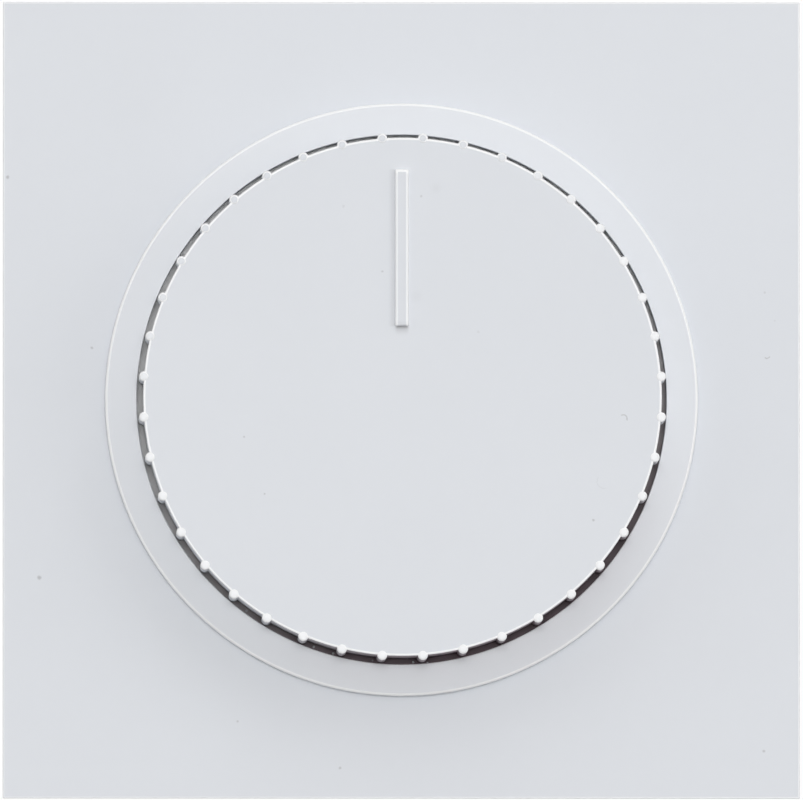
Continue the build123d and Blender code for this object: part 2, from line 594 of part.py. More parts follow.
def pot_bush():
    """A die-cast flange with the bush that the plate's nut is screwed on, and a key in the cover."""
    bush = disc(CAN_RADIUS, BUSH_BACK, COVER_BACK)
    bush += disc(BUSH_RADIUS, COVER_BACK, BUSH_FRONT)
    bush += disc(BUSH_KEY_RADIUS, COVER_BACK, COVER_BACK + BUSH_KEY_HEIGHT, y=BUSH_KEY_OFFSET)
    return bush - disc(SHAFT_RADIUS + RUN_GAP, BUSH_BACK, BUSH_FRONT)


def pot_can():
    """A cup behind the bush's flange, with a way out for the wafer's tongue."""
    can = disc(CAN_RADIUS, CAN_BACK, BUSH_BACK)
    can -= disc(CAN_RADIUS - CAN_WALL, WAFER_BACK, BUSH_BACK)
    can -= disc(STEM_RADIUS + LOOSE_GAP, CAN_BACK, WAFER_BACK)
    mouth = WAFER_TONGUE_WIDTH + 2 * LOOSE_GAP
    mouth_y = -CAN_RADIUS / 2 - STEM_RADIUS
    return can - block(mouth, CAN_RADIUS, WAFER_BACK, WAFER_FRONT + LOOSE_GAP, y=mouth_y)


def shaft():
    """Turned in one piece: a flat for the knob, a shoulder under the bush and a two-flat stem."""
    rod = flat_bore(SHAFT_RADIUS, [-SHAFT_FLAT], HUB_END, SHAFT_FRONT)
    rod += disc(SHAFT_RADIUS, SHOULDER_FRONT, HUB_END)
    rod += disc(SHOULDER_RADIUS, SHOULDER_BACK, SHOULDER_FRONT)
    return rod + flat_bore(STEM_RADIUS, [-STEM_FLAT, STEM_FLAT], CAN_BACK - SEAT_GAP, SHOULDER_BACK)


def wiper_rotor():
    """A moulded disc that the stem turns and slides through, located between the wafer and the bush."""
    rotor = disc(ROTOR_HUB, WAFER_FRONT + SEAT_GAP, ROTOR_BACK)
    rotor += disc(ROTOR_RADIUS, ROTOR_BACK, ROTOR_FRONT)
    sleeve = disc(ROTOR_SLEEVE, ROTOR_FRONT, BUSH_BACK - SEAT_GAP)
    rotor += sleeve - disc(ROTOR_SLEEVE - ROTOR_SLEEVE_WALL, ROTOR_FRONT, BUSH_BACK - SEAT_GAP)
    flat = STEM_FLAT + RUN_GAP
    return rotor - flat_bore(STEM_RADIUS + RUN_GAP, [-flat, flat], WAFER_FRONT + SEAT_GAP, ROTOR_FRONT)


def wiper_contact():
    """A spring leaf under the rotor, bent down to the track."""
    half = WIPER_LENGTH / 2
    toe = WAFER_FRONT + SEAT_GAP
    leaf = Polyline(
        (-half, ROTOR_BACK),
        (0, ROTOR_BACK),
        (half - WIPER_SHEET, toe + WIPER_SHEET),
        (half, toe + WIPER_SHEET),
        (half, toe),
        (half - 2 * WIPER_SHEET, toe),
        (-WIPER_SHEET, ROTOR_BACK - WIPER_SHEET),
        (-half, ROTOR_BACK - WIPER_SHEET),
        close=True,
    )
    strip = extrude(Plane.XZ * make_face(leaf), WIPER_WIDTH / 2, both=True)
    return Pos(0, WIPER_OFFSET, 0) * strip


def track_wafer():
    """A board disc on the can's floor, with a tongue for the terminals."""
    wafer = disc(CAN_RADIUS - CAN_WALL - LOOSE_GAP, WAFER_BACK, WAFER_FRONT)
    wafer += block(WAFER_TONGUE_WIDTH, WAFER_TONGUE_END, WAFER_BACK, WAFER_FRONT, y=-WAFER_TONGUE_END / 2)
    return wafer - disc(STEM_RADIUS + LOOSE_GAP, WAFER_BACK, WAFER_FRONT)


def pot_pins():
    """Terminals from the wafer's tongue down to the board."""
    y = POT_PIN_INSET - WAFER_TONGUE_END
    places = [(i - (POT_PIN_COUNT - 1) / 2) * POT_PIN_PITCH for i in range(POT_PIN_COUNT)]
    return group([block(POT_PIN_WIDTH, POT_PIN_SHEET, BOARD_FRONT, WAFER_BACK, x, y) for x in places])


def switch_housing():
    """The push switch's case, open behind, with a hole that the plunger comes up through."""
    case = block(SWITCH_SIDE, SWITCH_SIDE, BASE_FRONT, CAN_BACK)
    inside = SWITCH_SIDE - 2 * SWITCH_WALL
    case -= block(inside, inside, BASE_FRONT, SWITCH_CEILING)
    return case - disc(STEM_RADIUS + LOOSE_GAP, SWITCH_CEILING, CAN_BACK)


def switch_base():
    """The switch's bottom plate, with holes for its two contact posts."""
    plate = block(SWITCH_SIDE, SWITCH_SIDE, BOARD_FRONT, BASE_FRONT)
    return plate - both_sides(disc(POST_RADIUS + FIXED_GAP, BOARD_FRONT, BASE_FRONT, x=POST_OFFSET))


def switch_plunger():
    """A moulded plunger: a button under the shaft, a flange for the contact and a pin inside the spring."""
    plunger = disc(STEM_RADIUS, FLANGE_STOP, CAN_BACK - 2 * SEAT_GAP)
    plunger += disc(PLUNGER_FLANGE_RADIUS, BRIDGE_FRONT, FLANGE_STOP)
    return plunger + disc(PLUNGER_PIN_RADIUS, BASE_FRONT + PUSH_TRAVEL + PLUNGER_END_GAP, BRIDGE_FRONT)


def contact_bridge():
    """A strip under the plunger's flange, which joins the two posts when the knob is pushed in."""
    strip = block(BRIDGE_LENGTH, BRIDGE_WIDTH, BRIDGE_BACK, BRIDGE_FRONT)
    return strip - disc(PLUNGER_PIN_RADIUS + FIXED_GAP, BRIDGE_BACK, BRIDGE_FRONT)


def switch_spring():
    """A coil of square wire between the bridge and the base."""
    height = SPRING_LENGTH - SPRING_WIRE - 2 * SEAT_GAP
    coil = Helix(pitch=height / SPRING_TURNS, height=height, radius=SPRING_RADIUS)
    section = Plane(origin=coil @ 0, z_dir=coil % 0) * Rectangle(SPRING_WIRE, SPRING_WIRE)
    wire = sweep(section, path=coil, is_frenet=True)
    return Pos(0, 0, BASE_FRONT + SPRING_WIRE / 2 + SEAT_GAP) * wire


def switch_pins():
    """Contact posts, which the bridge reaches at the end of its travel."""
    post = disc(POST_RADIUS, BOARD_FRONT, BRIDGE_BACK - PUSH_TRAVEL - SEAT_GAP, x=POST_OFFSET)
    return group([post, mirrored(post)])


def circuit_board():
    """Fills the body's plan, cut out round the bosses, and rests on their shoulders."""
    gap = BODY_WALL + BOARD_GAP
    plan = body_plan(-gap) - notch_plan(gap)
    plan -= [Pos(x, y) * Circle(BOSS_RADIUS + LOOSE_GAP) for x, y in BOSS_PLACES]
    return rise(plan, BOARD_BACK, BOARD_FRONT)


def heat_sink():
    """A bent plate that stands on the board, with threaded holes for the transistors' screws."""
    top = COVER_BACK - SINK_TOP_GAP
    plate = block(2 * SINK_HALF_WIDTH, SINK_SHEET, BOARD_FRONT, top, y=SINK_Y + SINK_SHEET / 2)
    wing_x = SINK_HALF_WIDTH - SINK_SHEET / 2
    plate += both_sides(block(SINK_SHEET, SINK_WING, BOARD_FRONT, top, x=wing_x, y=SINK_Y - SINK_WING / 2))
    hole = upright(TAB_SCREW_RADIUS + FIXED_GAP, SINK_Y, SINK_Y + SINK_SHEET, 0, transistor_hole())
    return plate - [Pos(x, 0, 0) * hole for x in TRANSISTOR_PLACES]


def transistor_hole():
    return BOARD_FRONT + TRANSISTOR_LIFT + TRANSISTOR_HEIGHT - TRANSISTOR_HOLE_INSET


def power_transistors():
    """Two moulded bodies on metal tabs, each with three leads, screwed to the heat sink."""
    low = BOARD_FRONT + TRANSISTOR_LIFT
    body_y = SINK_Y - TRANSISTOR_DEPTH / 2
    device = block(TRANSISTOR_WIDTH, TRANSISTOR_DEPTH, low, low + TRANSISTOR_BODY, y=body_y)
    tab_y = SINK_Y - TRANSISTOR_TAB / 2
    device += block(TRANSISTOR_WIDTH, TRANSISTOR_TAB, low, low + TRANSISTOR_HEIGHT, y=tab_y)
    device += [block(LEAD_WIDTH, LEAD_SHEET, BOARD_FRONT, low, i * LEAD_PITCH, body_y) for i in (-1, 0, 1)]
    device -= upright(TAB_SCREW_RADIUS + FIXED_GAP, SINK_Y - TRANSISTOR_TAB, SINK_Y, 0, transistor_hole())
    return group([Pos(x, 0, 0) * device for x in TRANSISTOR_PLACES])


def transistor_screws():
    seat = SINK_Y - TRANSISTOR_TAB
    z = transistor_hole()
    screw = upright(TAB_SCREW_RADIUS, seat, SINK_Y + SINK_SHEET + TAB_SCREW_PROUD, 0, z)
    screw += upright(TAB_SCREW_HEAD, seat - TAB_SCREW_HEAD_HEIGHT, seat, 0, z)
    return group([Pos(x, 0, 0) * screw for x in TRANSISTOR_PLACES])


def choke_core():
    """A ferrite drum, standing on the board."""
    top = BOARD_FRONT + CHOKE_HEIGHT
    drum = disc(CHOKE_NECK, BOARD_FRONT, top)
    drum += disc(CHOKE_RADIUS, BOARD_FRONT, BOARD_FRONT + CHOKE_FLANGE)
    drum += disc(CHOKE_RADIUS, top - CHOKE_FLANGE, top)
    return Pos(CHOKE_X, CHOKE_Y, 0) * drum


def choke_winding():
    """The copper winding between the drum's flanges."""
    low = BOARD_FRONT + CHOKE_FLANGE + SEAT_GAP
    high = BOARD_FRONT + CHOKE_HEIGHT - CHOKE_FLANGE - SEAT_GAP
    coil = disc(CHOKE_RADIUS - WINDING_INSET, low, high) - disc(CHOKE_NECK + FIXED_GAP, low, high)
    return Pos(CHOKE_X, CHOKE_Y, 0) * coil


def suppression_capacitor():
    case = block(FILM_CAP_WIDTH, FILM_CAP_DEPTH, BOARD_FRONT, BOARD_FRONT + FILM_CAP_HEIGHT)
    case = fillet(top_edges(case) + case.edges().filter_by(Axis.Z), FILM_CAP_EDGE)
    return Pos(FILM_CAP_X, FILM_CAP_Y, 0) * case


def supply_capacitor():
    """A round can with a rolled groove near the board."""
    can = disc(CAN_CAP_RADIUS, BOARD_FRONT, BOARD_FRONT + CAN_CAP_HEIGHT)
    can = chamfer(top_edges(can), CAN_CAP_EDGE)
    low = BOARD_FRONT + CAN_CAP_GROOVE_RISE
    groove = disc(CAN_CAP_RADIUS, low, low + CAN_CAP_GROOVE)
    groove -= disc(CAN_CAP_RADIUS - CAN_CAP_GROOVE, low, low + CAN_CAP_GROOVE)
    return Pos(CAN_CAP_X, CAN_CAP_Y, 0) * (can - groove)


def varistor():
    """A coated disc on two wires."""
    z = BOARD_FRONT + VARISTOR_LIFT + VARISTOR_RADIUS
    tablet = upright(VARISTOR_RADIUS, -VARISTOR_THICKNESS / 2, VARISTOR_THICKNESS / 2, 0, z)
    tablet = chamfer(tablet.edges().filter_by(GeomType.CIRCLE), VARISTOR_EDGE)
    tablet += both_sides(disc(WIRE_RADIUS, BOARD_FRONT, z, x=VARISTOR_PITCH / 2))
    return Pos(VARISTOR_X, VARISTOR_Y, 0) * tablet


def resistors():
    """Resistors that lie on the board, each with its two wires bent down."""
    z = BOARD_FRONT + RESISTOR_RADIUS
    end = RESISTOR_SPAN / 2
    piece = upright(RESISTOR_RADIUS, -RESISTOR_LENGTH / 2, RESISTOR_LENGTH / 2, 0, z)
    piece += upright(WIRE_RADIUS, -end, end, 0, z)
    piece += [disc(WIRE_RADIUS, BOARD_FRONT, z, y=side * (end - WIRE_RADIUS)) for side in (-1, 1)]
    return group([Pos(RESISTOR_X + i * RESISTOR_PITCH, 0, 0) * piece for i in range(RESISTOR_COUNT)])


def control_chip():
    """A small flat chip with a row of legs on each side."""
    low = BOARD_FRONT + CHIP_LIFT
    chip = block(CHIP_WIDTH, CHIP_LENGTH, low, low + CHIP_HEIGHT)
    span = CHIP_WIDTH + 2 * CHIP_LEG_REACH
    leg = block(span, CHIP_LEG_WIDTH, BOARD_FRONT, BOARD_FRONT + CHIP_LEG_HEIGHT)
    leg -= block(CHIP_WIDTH, CHIP_LEG_WIDTH, BOARD_FRONT, low)
    places = [(i - (CHIP_LEG_COUNT - 1) / 2) * CHIP_LEG_PITCH for i in range(CHIP_LEG_COUNT)]
    chip += [Pos(0, y, 0) * leg for y in places]
    return Pos(CHIP_X, 0, 0) * chip


def terminal_plan(gap):
    """Plan of the terminal block, grown all round by a gap."""
    return Pos(0, TERMINAL_Y) * Rectangle(TERMINAL_WIDTH + 2 * gap, TERMINAL_HEIGHT + 2 * gap)


def terminal_block():
    """A moulded block behind the board: pockets for cages, wire entries behind, screw holes below."""
    pocket_end = BODY_BACK + TERMINAL_FLOOR
    body = rise(terminal_plan(0), BODY_BACK, BOARD_BACK)
    room = 2 * LOOSE_GAP
    pocket = block(CAGE_WIDTH + room, CAGE_HEIGHT + room, pocket_end, BOARD_BACK, y=TERMINAL_Y)
    pocket += disc(WIRE_HOLE_RADIUS, BODY_BACK, pocket_end, y=TERMINAL_Y)
    mouth = Cone(WIRE_HOLE_RADIUS + WIRE_FUNNEL, WIRE_HOLE_RADIUS, WIRE_FUNNEL)
    pocket += Pos(0, TERMINAL_Y, BODY_BACK + WIRE_FUNNEL / 2) * mouth
    screw_z = BOARD_BACK - CAGE_SCREW_RISE
    pocket += upright(CAGE_SCREW_HEAD + LOOSE_GAP, -TERMINAL_REACH, TERMINAL_Y, 0, screw_z)
    return body - [Pos(x, 0, 0) * pocket for x in TERMINAL_PLACES]


def terminal_cages():
    """Brass cages that the wires go in, with a threaded wall for the screw."""
    low = BODY_BACK + TERMINAL_FLOOR + LOOSE_GAP
    cage = block(CAGE_WIDTH, CAGE_HEIGHT, low, BOARD_BACK, y=TERMINAL_Y)
    cage -= block(CAGE_WIDTH - 2 * CAGE_SIDE, CAGE_HEIGHT - 2 * CAGE_WALL, low, BOARD_BACK, y=TERMINAL_Y)
    bottom = TERMINAL_Y - CAGE_HEIGHT / 2
    screw_z = BOARD_BACK - CAGE_SCREW_RISE
    cage -= upright(CAGE_SCREW_RADIUS + FIXED_GAP, bottom, bottom + CAGE_WALL, 0, screw_z)
    return group([Pos(x, 0, 0) * cage for x in TERMINAL_PLACES])


def terminal_screws():
    """Slotted screws, driven from below, with their heads on the cages."""
    z = BOARD_BACK - CAGE_SCREW_RISE
    seat = TERMINAL_Y - CAGE_HEIGHT / 2
    head_end = seat - CAGE_SCREW_HEAD_HEIGHT
    screw = upright(CAGE_SCREW_RADIUS, seat, seat + CAGE_SCREW_LENGTH, 0, z)
    screw += upright(CAGE_SCREW_HEAD, head_end, seat, 0, z)
    half = DRIVE_WIDTH / 2
    screw -= block(2 * CAGE_SCREW_HEAD, DRIVE_DEPTH, z - half, z + half, y=head_end + DRIVE_DEPTH / 2)
    return group([Pos(x, 0, 0) * screw for x in TERMINAL_PLACES])


PIECES = {
    "knob": knob(),
    "knob_clip": knob_clip(),
    "centre_plate": centre_plate(),
    "plate_nut": plate_nut(),
    "support_ring": support_ring(),
    "front_cover": front_cover(),
    "cover_screws": cover_screws(),
    "housing": housing(),
    "left_claw": mirrored(claw()),
    "right_claw": claw(),
    "left_claw_screw": mirrored(claw_screw()),
    "right_claw_screw": claw_screw(),
    "left_claw_nut": mirrored(claw_nut()),
    "right_claw_nut": claw_nut(),
    "claw_pins": claw_pins(),
    "pot_bush": pot_bush(),
    "pot_can": pot_can(),
    "shaft": shaft(),
    "wiper_rotor": wiper_rotor(),
    "wiper_contact": wiper_contact(),
    "track_wafer": track_wafer(),
    "pot_pins": pot_pins(),
    "switch_housing": switch_housing(),
    "switch_base": switch_base(),
    "switch_plunger": switch_plunger(),
    "contact_bridge": contact_bridge(),
    "switch_spring": switch_spring(),
    "switch_pins": switch_pins(),
    "circuit_board": circuit_board(),
    "heat_sink": heat_sink(),
    "power_transistors": power_transistors(),
    "transistor_screws": transistor_screws(),
    "choke_core": choke_core(),
    "choke_winding": choke_winding(),
    "suppression_capacitor": suppression_capacitor(),
    "supply_capacitor": supply_capacitor(),
    "varistor": varistor(),
    "resistors": resistors(),
    "control_chip": control_chip(),
    "terminal_block": terminal_block(),
    "terminal_cages": terminal_cages(),
    "terminal_screws": terminal_screws(),
}

os.makedirs("parts", exist_ok=True)
for name, piece in PIECES.items():
    export_step(Rot(90, 0, 0) * piece, f"parts/{name}.step")
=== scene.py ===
import math
import bmesh
import bpy
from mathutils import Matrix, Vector


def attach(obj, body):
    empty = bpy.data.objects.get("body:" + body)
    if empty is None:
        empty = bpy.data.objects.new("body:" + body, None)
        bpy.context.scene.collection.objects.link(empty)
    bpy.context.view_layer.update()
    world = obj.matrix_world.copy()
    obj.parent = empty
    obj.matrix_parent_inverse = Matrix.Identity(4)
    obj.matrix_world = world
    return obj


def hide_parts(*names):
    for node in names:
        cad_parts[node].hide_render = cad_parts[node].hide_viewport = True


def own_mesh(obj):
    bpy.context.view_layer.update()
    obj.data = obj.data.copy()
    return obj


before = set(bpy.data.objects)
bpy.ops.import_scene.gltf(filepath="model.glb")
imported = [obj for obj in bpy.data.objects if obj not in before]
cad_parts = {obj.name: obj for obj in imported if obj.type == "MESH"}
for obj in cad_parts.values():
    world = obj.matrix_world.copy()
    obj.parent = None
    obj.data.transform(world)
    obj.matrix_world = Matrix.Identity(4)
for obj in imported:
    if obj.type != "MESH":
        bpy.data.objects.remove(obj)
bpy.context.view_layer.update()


# Housing: the cup of the insert, moulded in light grey plastic with a matt grain from the mould.
# It hangs in the wall box behind the support ring, and every other piece is built up on it.
HOUSING_GREY = (0.42, 0.43, 0.44)


def connect(node, inputs):
    """Sets a node's inputs by name or number, each to a constant or to a signal."""
    for name, value in inputs.items():
        if isinstance(value, Signal):
            node.id_data.links.new(value.socket, node.inputs[name])
        else:
            node.inputs[name].default_value = value


class Signal:
    """A socket in a finish's node tree. Arithmetic on it adds Math nodes to that tree."""

    def __init__(self, socket):
        self.socket = socket

    def node(self, kind, settings=None, inputs=None, output=0):
        """Adds any other node: its settings first, then the constants or signals of its inputs."""
        added = self.socket.id_data.nodes.new("ShaderNode" + kind)
        for name, value in (settings or {}).items():
            setattr(added, name, value)
        connect(added, inputs or {})
        return Signal(added.outputs[output])

    def beside(self, output):
        """Another output of the same node."""
        return Signal(self.socket.node.outputs[output])

    def maths(self, operation, *terms):
        return self.node("Math", {"operation": operation}, dict(enumerate(terms)))

    def __add__(self, other):
        return self.maths("ADD", self, other)

    def __sub__(self, other):
        return self.maths("SUBTRACT", self, other)

    def __rsub__(self, other):
        return self.maths("SUBTRACT", other, self)

    def __mul__(self, other):
        return self.maths("MULTIPLY", self, other)

    def __truediv__(self, other):
        return self.maths("DIVIDE", self, other)

    def __abs__(self):
        return self.maths("ABSOLUTE", self)

    __radd__ = __add__
    __rmul__ = __mul__

    def larger(self, other):
        return self.maths("MAXIMUM", self, other)

    def axes(self):
        """The three parts of a place, X, Y and Z."""
        x = self.node("SeparateXYZ", None, {"Vector": self}, "X")
        return x, x.beside("Y"), x.beside("Z")

    def noise(self, scale, detail=2.0, roughness=0.5):
        inputs = {"Vector": self, "Scale": scale, "Detail": detail, "Roughness": roughness}
        return self.node("TexNoise", None, inputs)

    def cells(self, scale, output="Distance"):
        return self.node("TexVoronoi", None, {"Vector": self, "Scale": scale}, output)

    def stretched(self, x, y, z):
        """The same coordinates, scaled along each axis."""
        return self.node("Mapping", None, {"Vector": self, "Scale": (x, y, z)})

    def step(self, low, high):
        """A soft step from 0 at low to 1 at high, or falling where low is above high."""
        inputs = {"Value": self, "From Min": low, "From Max": high}
        return self.node("MapRange", {"interpolation_type": "SMOOTHSTEP"}, inputs)

    def mix(self, below, above):
        """From one colour to another as the signal goes from 0 to 1."""
        return self.node("Mix", {"data_type": "RGBA"}, {0: self, 6: below, 7: above}, 2)

    def bump(self, strength, depth):
        """The surface's normal when the signal is read as a relief of this depth in metres."""
        return self.node("Bump", None, {"Strength": strength, "Distance": depth, "Height": self})


def tint(colour, level=1.0):
    return tuple(level * part for part in colour) + (1.0,)


def new_finish(name):
    """An empty finish: its material, its shader and the piece's own coordinates."""
    material = bpy.data.materials.new(name)
    material.use_nodes = True
    nodes = material.node_tree.nodes
    place = Signal(nodes.new("ShaderNodeTexCoord").outputs["Object"])
    return material, nodes["Principled BSDF"], place


def moulded(name, colour, roughness, grain=7000):
    """Moulded plastic: fine grain from the mould, faint flow clouds and a few rubbed places."""
    material, shader, place = new_finish(name)
    cloud = place.noise(110, 3)
    flow = place.stretched(1, 0.25, 1).noise(420, 2)
    speckle = place.noise(1700, 4, 0.65)
    rubbed_and_highlight = place.noise(230, 4).step(0.56, 0.7)
    relief = place.noise(grain, 3) + 0.5 * flow + 0.8 * speckle
    shade = 0.4 * cloud + 0.25 * flow + 0.35 * speckle
    connect(shader, {
        "Base Color": shade.mix(tint(colour, 0.78), tint(colour, 1.2)),
        "Roughness": roughness + 0.14 * cloud - 0.12 * rubbed_and_highlight,
        "Normal": relief.bump(0.35, 0.00002),
    })
    return material


def dress(material, *names):
    """Gives CAD nodes their finish."""
    for name in names:
        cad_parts[name].material_slots[0].material = material


dress(moulded("housing_grey", HOUSING_GREY, 0.5), "housing")


# Terminal block: moulded in the housing's grey but glossier, held between the board and the back.
# Its three cages are bent from tinned brass, and their slotted screws are zinc plated.
TERMINAL_GREY = (0.5, 0.51, 0.51)
BRASS = (0.74, 0.53, 0.24)
TARNISH = (0.36, 0.23, 0.1)
PLATED_STEEL = (0.66, 0.655, 0.63)
YELLOW_PASSIVATION = (0.66, 0.6, 0.44)


def brass(name):
    """Rolled brass strip, tarnished in clouds and along its rolling marks."""
    material, shader, place = new_finish(name)
    rolled = place.stretched(1, 12, 1).noise(500, 3)
    tarnish = (place.noise(380, 4) + 0.3 * rolled).step(0.62, 0.95)
    connect(shader, {
        "Metallic": 1.0,
        "Base Color": tarnish.mix(tint(BRASS), tint(TARNISH)),
        "Roughness": 0.24 + 0.3 * tarnish + 0.1 * rolled,
        "Normal": rolled.bump(0.25, 0.000008),
    })
    return material


def plated(name):
    """Zinc-plated steel, passivated a little yellow, with fine tool marks and dull spots."""
    material, shader, place = new_finish(name)
    cloud = place.noise(450, 3)
    marks = place.stretched(1, 9, 1).noise(2600, 2)
    dull = place.cells(2200).step(0.35, 0.1) * cloud
    connect(shader, {
        "Metallic": 1.0,
        "Base Color": cloud.step(0.4, 0.75).mix(tint(PLATED_STEEL), tint(YELLOW_PASSIVATION)),
        "Roughness": 0.27 + 0.18 * cloud + 0.16 * dull,
        "Normal": (marks + cloud).bump(0.25, 0.000006),
    })
    return material


dress(moulded("terminal_grey", TERMINAL_GREY, 0.38), "terminal_block")
dress(brass("cage_brass"), "terminal_cages")
plated_steel = plated("plated_steel_finish")
dress(plated_steel, "terminal_screws")


# Circuit board: glass-fibre laminate under green solder mask, with copper tracks below the mask.
# It rests on the shoulders of the housing's bosses, and the power parts stand on it.
MASK_GREEN = (0.018, 0.12, 0.05)
TRACK_GREEN = (0.04, 0.24, 0.09)
board, shader, place = new_finish("solder_mask_green")
turned = place.node("Mapping", None, {"Vector": place, "Rotation": (math.radians(90), 0, 0)})
tracks = turned.node("TexBrick", {"offset": 0.37, "squash": 1.6}, {
    "Vector": turned, "Scale": 150.0, "Mortar Size": 0.035, "Mortar Smooth": 0.2,
    "Brick Width": 0.9, "Row Height": 0.42}, "Fac")
weave = place.stretched(1, 0, 0).noise(2400, 1) + place.stretched(0, 0, 1).noise(2400, 1)
cloud = place.noise(160, 2)
connect(shader, {
    "Base Color": (0.8 * tracks + 0.2 * cloud).mix(tint(MASK_GREEN), tint(TRACK_GREEN)),
    "Roughness": 0.26 + 0.14 * cloud,
    "Normal": (0.4 * weave + tracks).bump(0.3, 0.00002),
})
dress(board, "circuit_board")


# Heat sink and power transistors: a plate of bent aluminium, drawn along its width, with two
# black-moulded devices screwed to it.
ALUMINIUM = (0.76, 0.77, 0.78)
DEVICE_BLACK = (0.022, 0.022, 0.024)


def drawn_aluminium(name, run):
    """Bare aluminium with fine marks along the way it was drawn or turned, and a grey oxide bloom."""
    material, shader, place = new_finish(name)
    marks = place.stretched(*run).noise(2400, 3)
    bloom = place.noise(300, 3).step(0.4, 0.8)
    connect(shader, {
        "Metallic": 1.0,
        "Base Color": (0.6 * bloom + 0.3 * marks).mix(tint(ALUMINIUM), tint(ALUMINIUM, 0.72)),
        "Roughness": 0.26 + 0.16 * marks + 0.14 * bloom,
        "Normal": marks.bump(0.35, 0.00001),
    })
    return material


dress(drawn_aluminium("drawn_aluminium", (0.04, 1, 1)), "heat_sink")
dress(moulded("device_black", DEVICE_BLACK, 0.46, 5200), "power_transistors", "control_chip")
dress(plated_steel, "transistor_screws")


# Choke: a drum of dark ferrite with its copper wire wound between the flanges, turn beside turn.
# The wire is enamelled, so it is glossy and a little redder than bare copper.
CHOKE_AXIS = (-0.0098, -0.01522)      # X and Z
WIRE_DIAMETER = 0.0009
WINDING_RADIUS = 0.0046
WINDING_BACK, WINDING_FRONT = 0.01545, 0.00455
FERRITE = (0.035, 0.034, 0.036)
COPPER = (0.6, 0.25, 0.1)
NEAR = 0.000001                       # points this close are one


def begin(name, add, **shape):
    """Adds a primitive at its size and place, puts that into its mesh and opens it in edit mode."""
    bpy.ops.object.select_all(action="DESELECT")
    add(**shape)
    piece = bpy.context.object
    piece.name = piece.data.name = name
    bpy.ops.object.transform_apply(location=True, rotation=True, scale=True)
    bpy.ops.object.mode_set(mode="EDIT")
    return piece


def select_only(piece):
    bpy.ops.object.select_all(action="DESELECT")
    piece.select_set(True)
    bpy.context.view_layer.objects.active = piece


def finish_mesh(piece, sharp_angle=35):
    """Merges doubles and turns faces outwards, so that flat faces shade flat and roundings round."""
    bpy.ops.object.mode_set(mode="OBJECT")
    select_only(piece)
    bpy.ops.object.mode_set(mode="EDIT")
    bpy.ops.mesh.select_all(action="SELECT")
    bpy.ops.mesh.remove_doubles(threshold=NEAR)
    bpy.ops.mesh.normals_make_consistent(inside=False)
    if bmesh.from_edit_mesh(piece.data).calc_volume(signed=True) < 0:       # a thread can come out inwards
        bpy.ops.mesh.flip_normals()
    bpy.ops.object.mode_set(mode="OBJECT")
    bpy.ops.object.shade_smooth_by_angle(angle=math.radians(sharp_angle))
    apply_modifier(piece, "WEIGHTED_NORMAL", keep_sharp=True)


def apply_modifier(piece, kind, **settings):
    modifier = piece.modifiers.new(kind, kind)
    for name, value in settings.items():
        setattr(modifier, name, value)
    bpy.context.view_layer.objects.active = piece
    bpy.ops.object.modifier_apply(modifier=modifier.name)


def wound(name, wire, outside, front, pitch, turns, centre=(0.0, 0.0)):
    """A round wire wound about an axis along Y, from its front backwards."""
    piece = begin(name, bpy.ops.mesh.primitive_circle_add, vertices=12, radius=wire / 2)
    bpy.ops.transform.translate(value=(outside - wire / 2, front + wire / 2, 0))
    bpy.ops.object.mode_set(mode="OBJECT")
    apply_modifier(piece, "SCREW", axis="Y", angle=2 * math.pi, screw_offset=pitch,
                   iterations=turns, steps=40, render_steps=40)
    bpy.ops.object.mode_set(mode="EDIT")
    bpy.ops.mesh.select_all(action="SELECT")
    bpy.ops.mesh.fill_holes(sides=0)
    bpy.ops.mesh.select_all(action="SELECT")
    bpy.ops.transform.translate(value=(centre[0], 0, centre[1]))
    finish_mesh(piece, 50)
    return piece


ferrite, shader, place = new_finish("ferrite_finish")
specks = place.cells(3000).step(0.3, 0.1)
cloud = place.noise(600, 4)
connect(shader, {
    "Base Color": (specks * cloud).mix(tint(FERRITE), tint(FERRITE, 2.4)),
    "Roughness": 0.62 + 0.2 * cloud,
    "Normal": (cloud + 0.5 * specks).bump(0.4, 0.00002),
})
dress(ferrite, "choke_core")

turns = math.floor((WINDING_BACK - WINDING_FRONT) / WIRE_DIAMETER) - 1
winding = wound("wound_copper", WIRE_DIAMETER, WINDING_RADIUS, WINDING_FRONT,
                WIRE_DIAMETER, turns, CHOKE_AXIS)
copper, shader, place = new_finish("enamelled_copper")
cloud = place.noise(500, 3)
drawn = place.stretched(1, 5, 1).noise(3000, 2)
connect(shader, {
    "Metallic": 1.0,
    "Coat Weight": 0.6,
    "Coat Roughness": 0.12,
    "Base Color": cloud.mix(tint(COPPER, 0.7), tint(COPPER, 1.15)),
    "Roughness": 0.26 + 0.16 * cloud,
    "Normal": drawn.bump(0.2, 0.000005),
})
winding.data.materials.append(copper)
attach(winding, "base")
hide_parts("choke_winding")


# Smaller parts on the board: a film capacitor in a yellow box, an electrolytic in a black sleeve,
# a blue coated varistor, and two resistors with painted bands.
FILM_YELLOW = (0.62, 0.42, 0.06)
SLEEVE_BLACK = (0.03, 0.03, 0.045)
VARISTOR_BLUE = (0.03, 0.11, 0.36)
RESISTOR_BEIGE = (0.52, 0.38, 0.22)
BAND_COLOURS = ((0.24, 0.06, 0.02), (0.02, 0.02, 0.02), (0.5, 0.08, 0.03), (0.52, 0.36, 0.08))
BAND_FIRST, BAND_PITCH, BAND_WIDTH = -0.0021, 0.0013, 0.0006


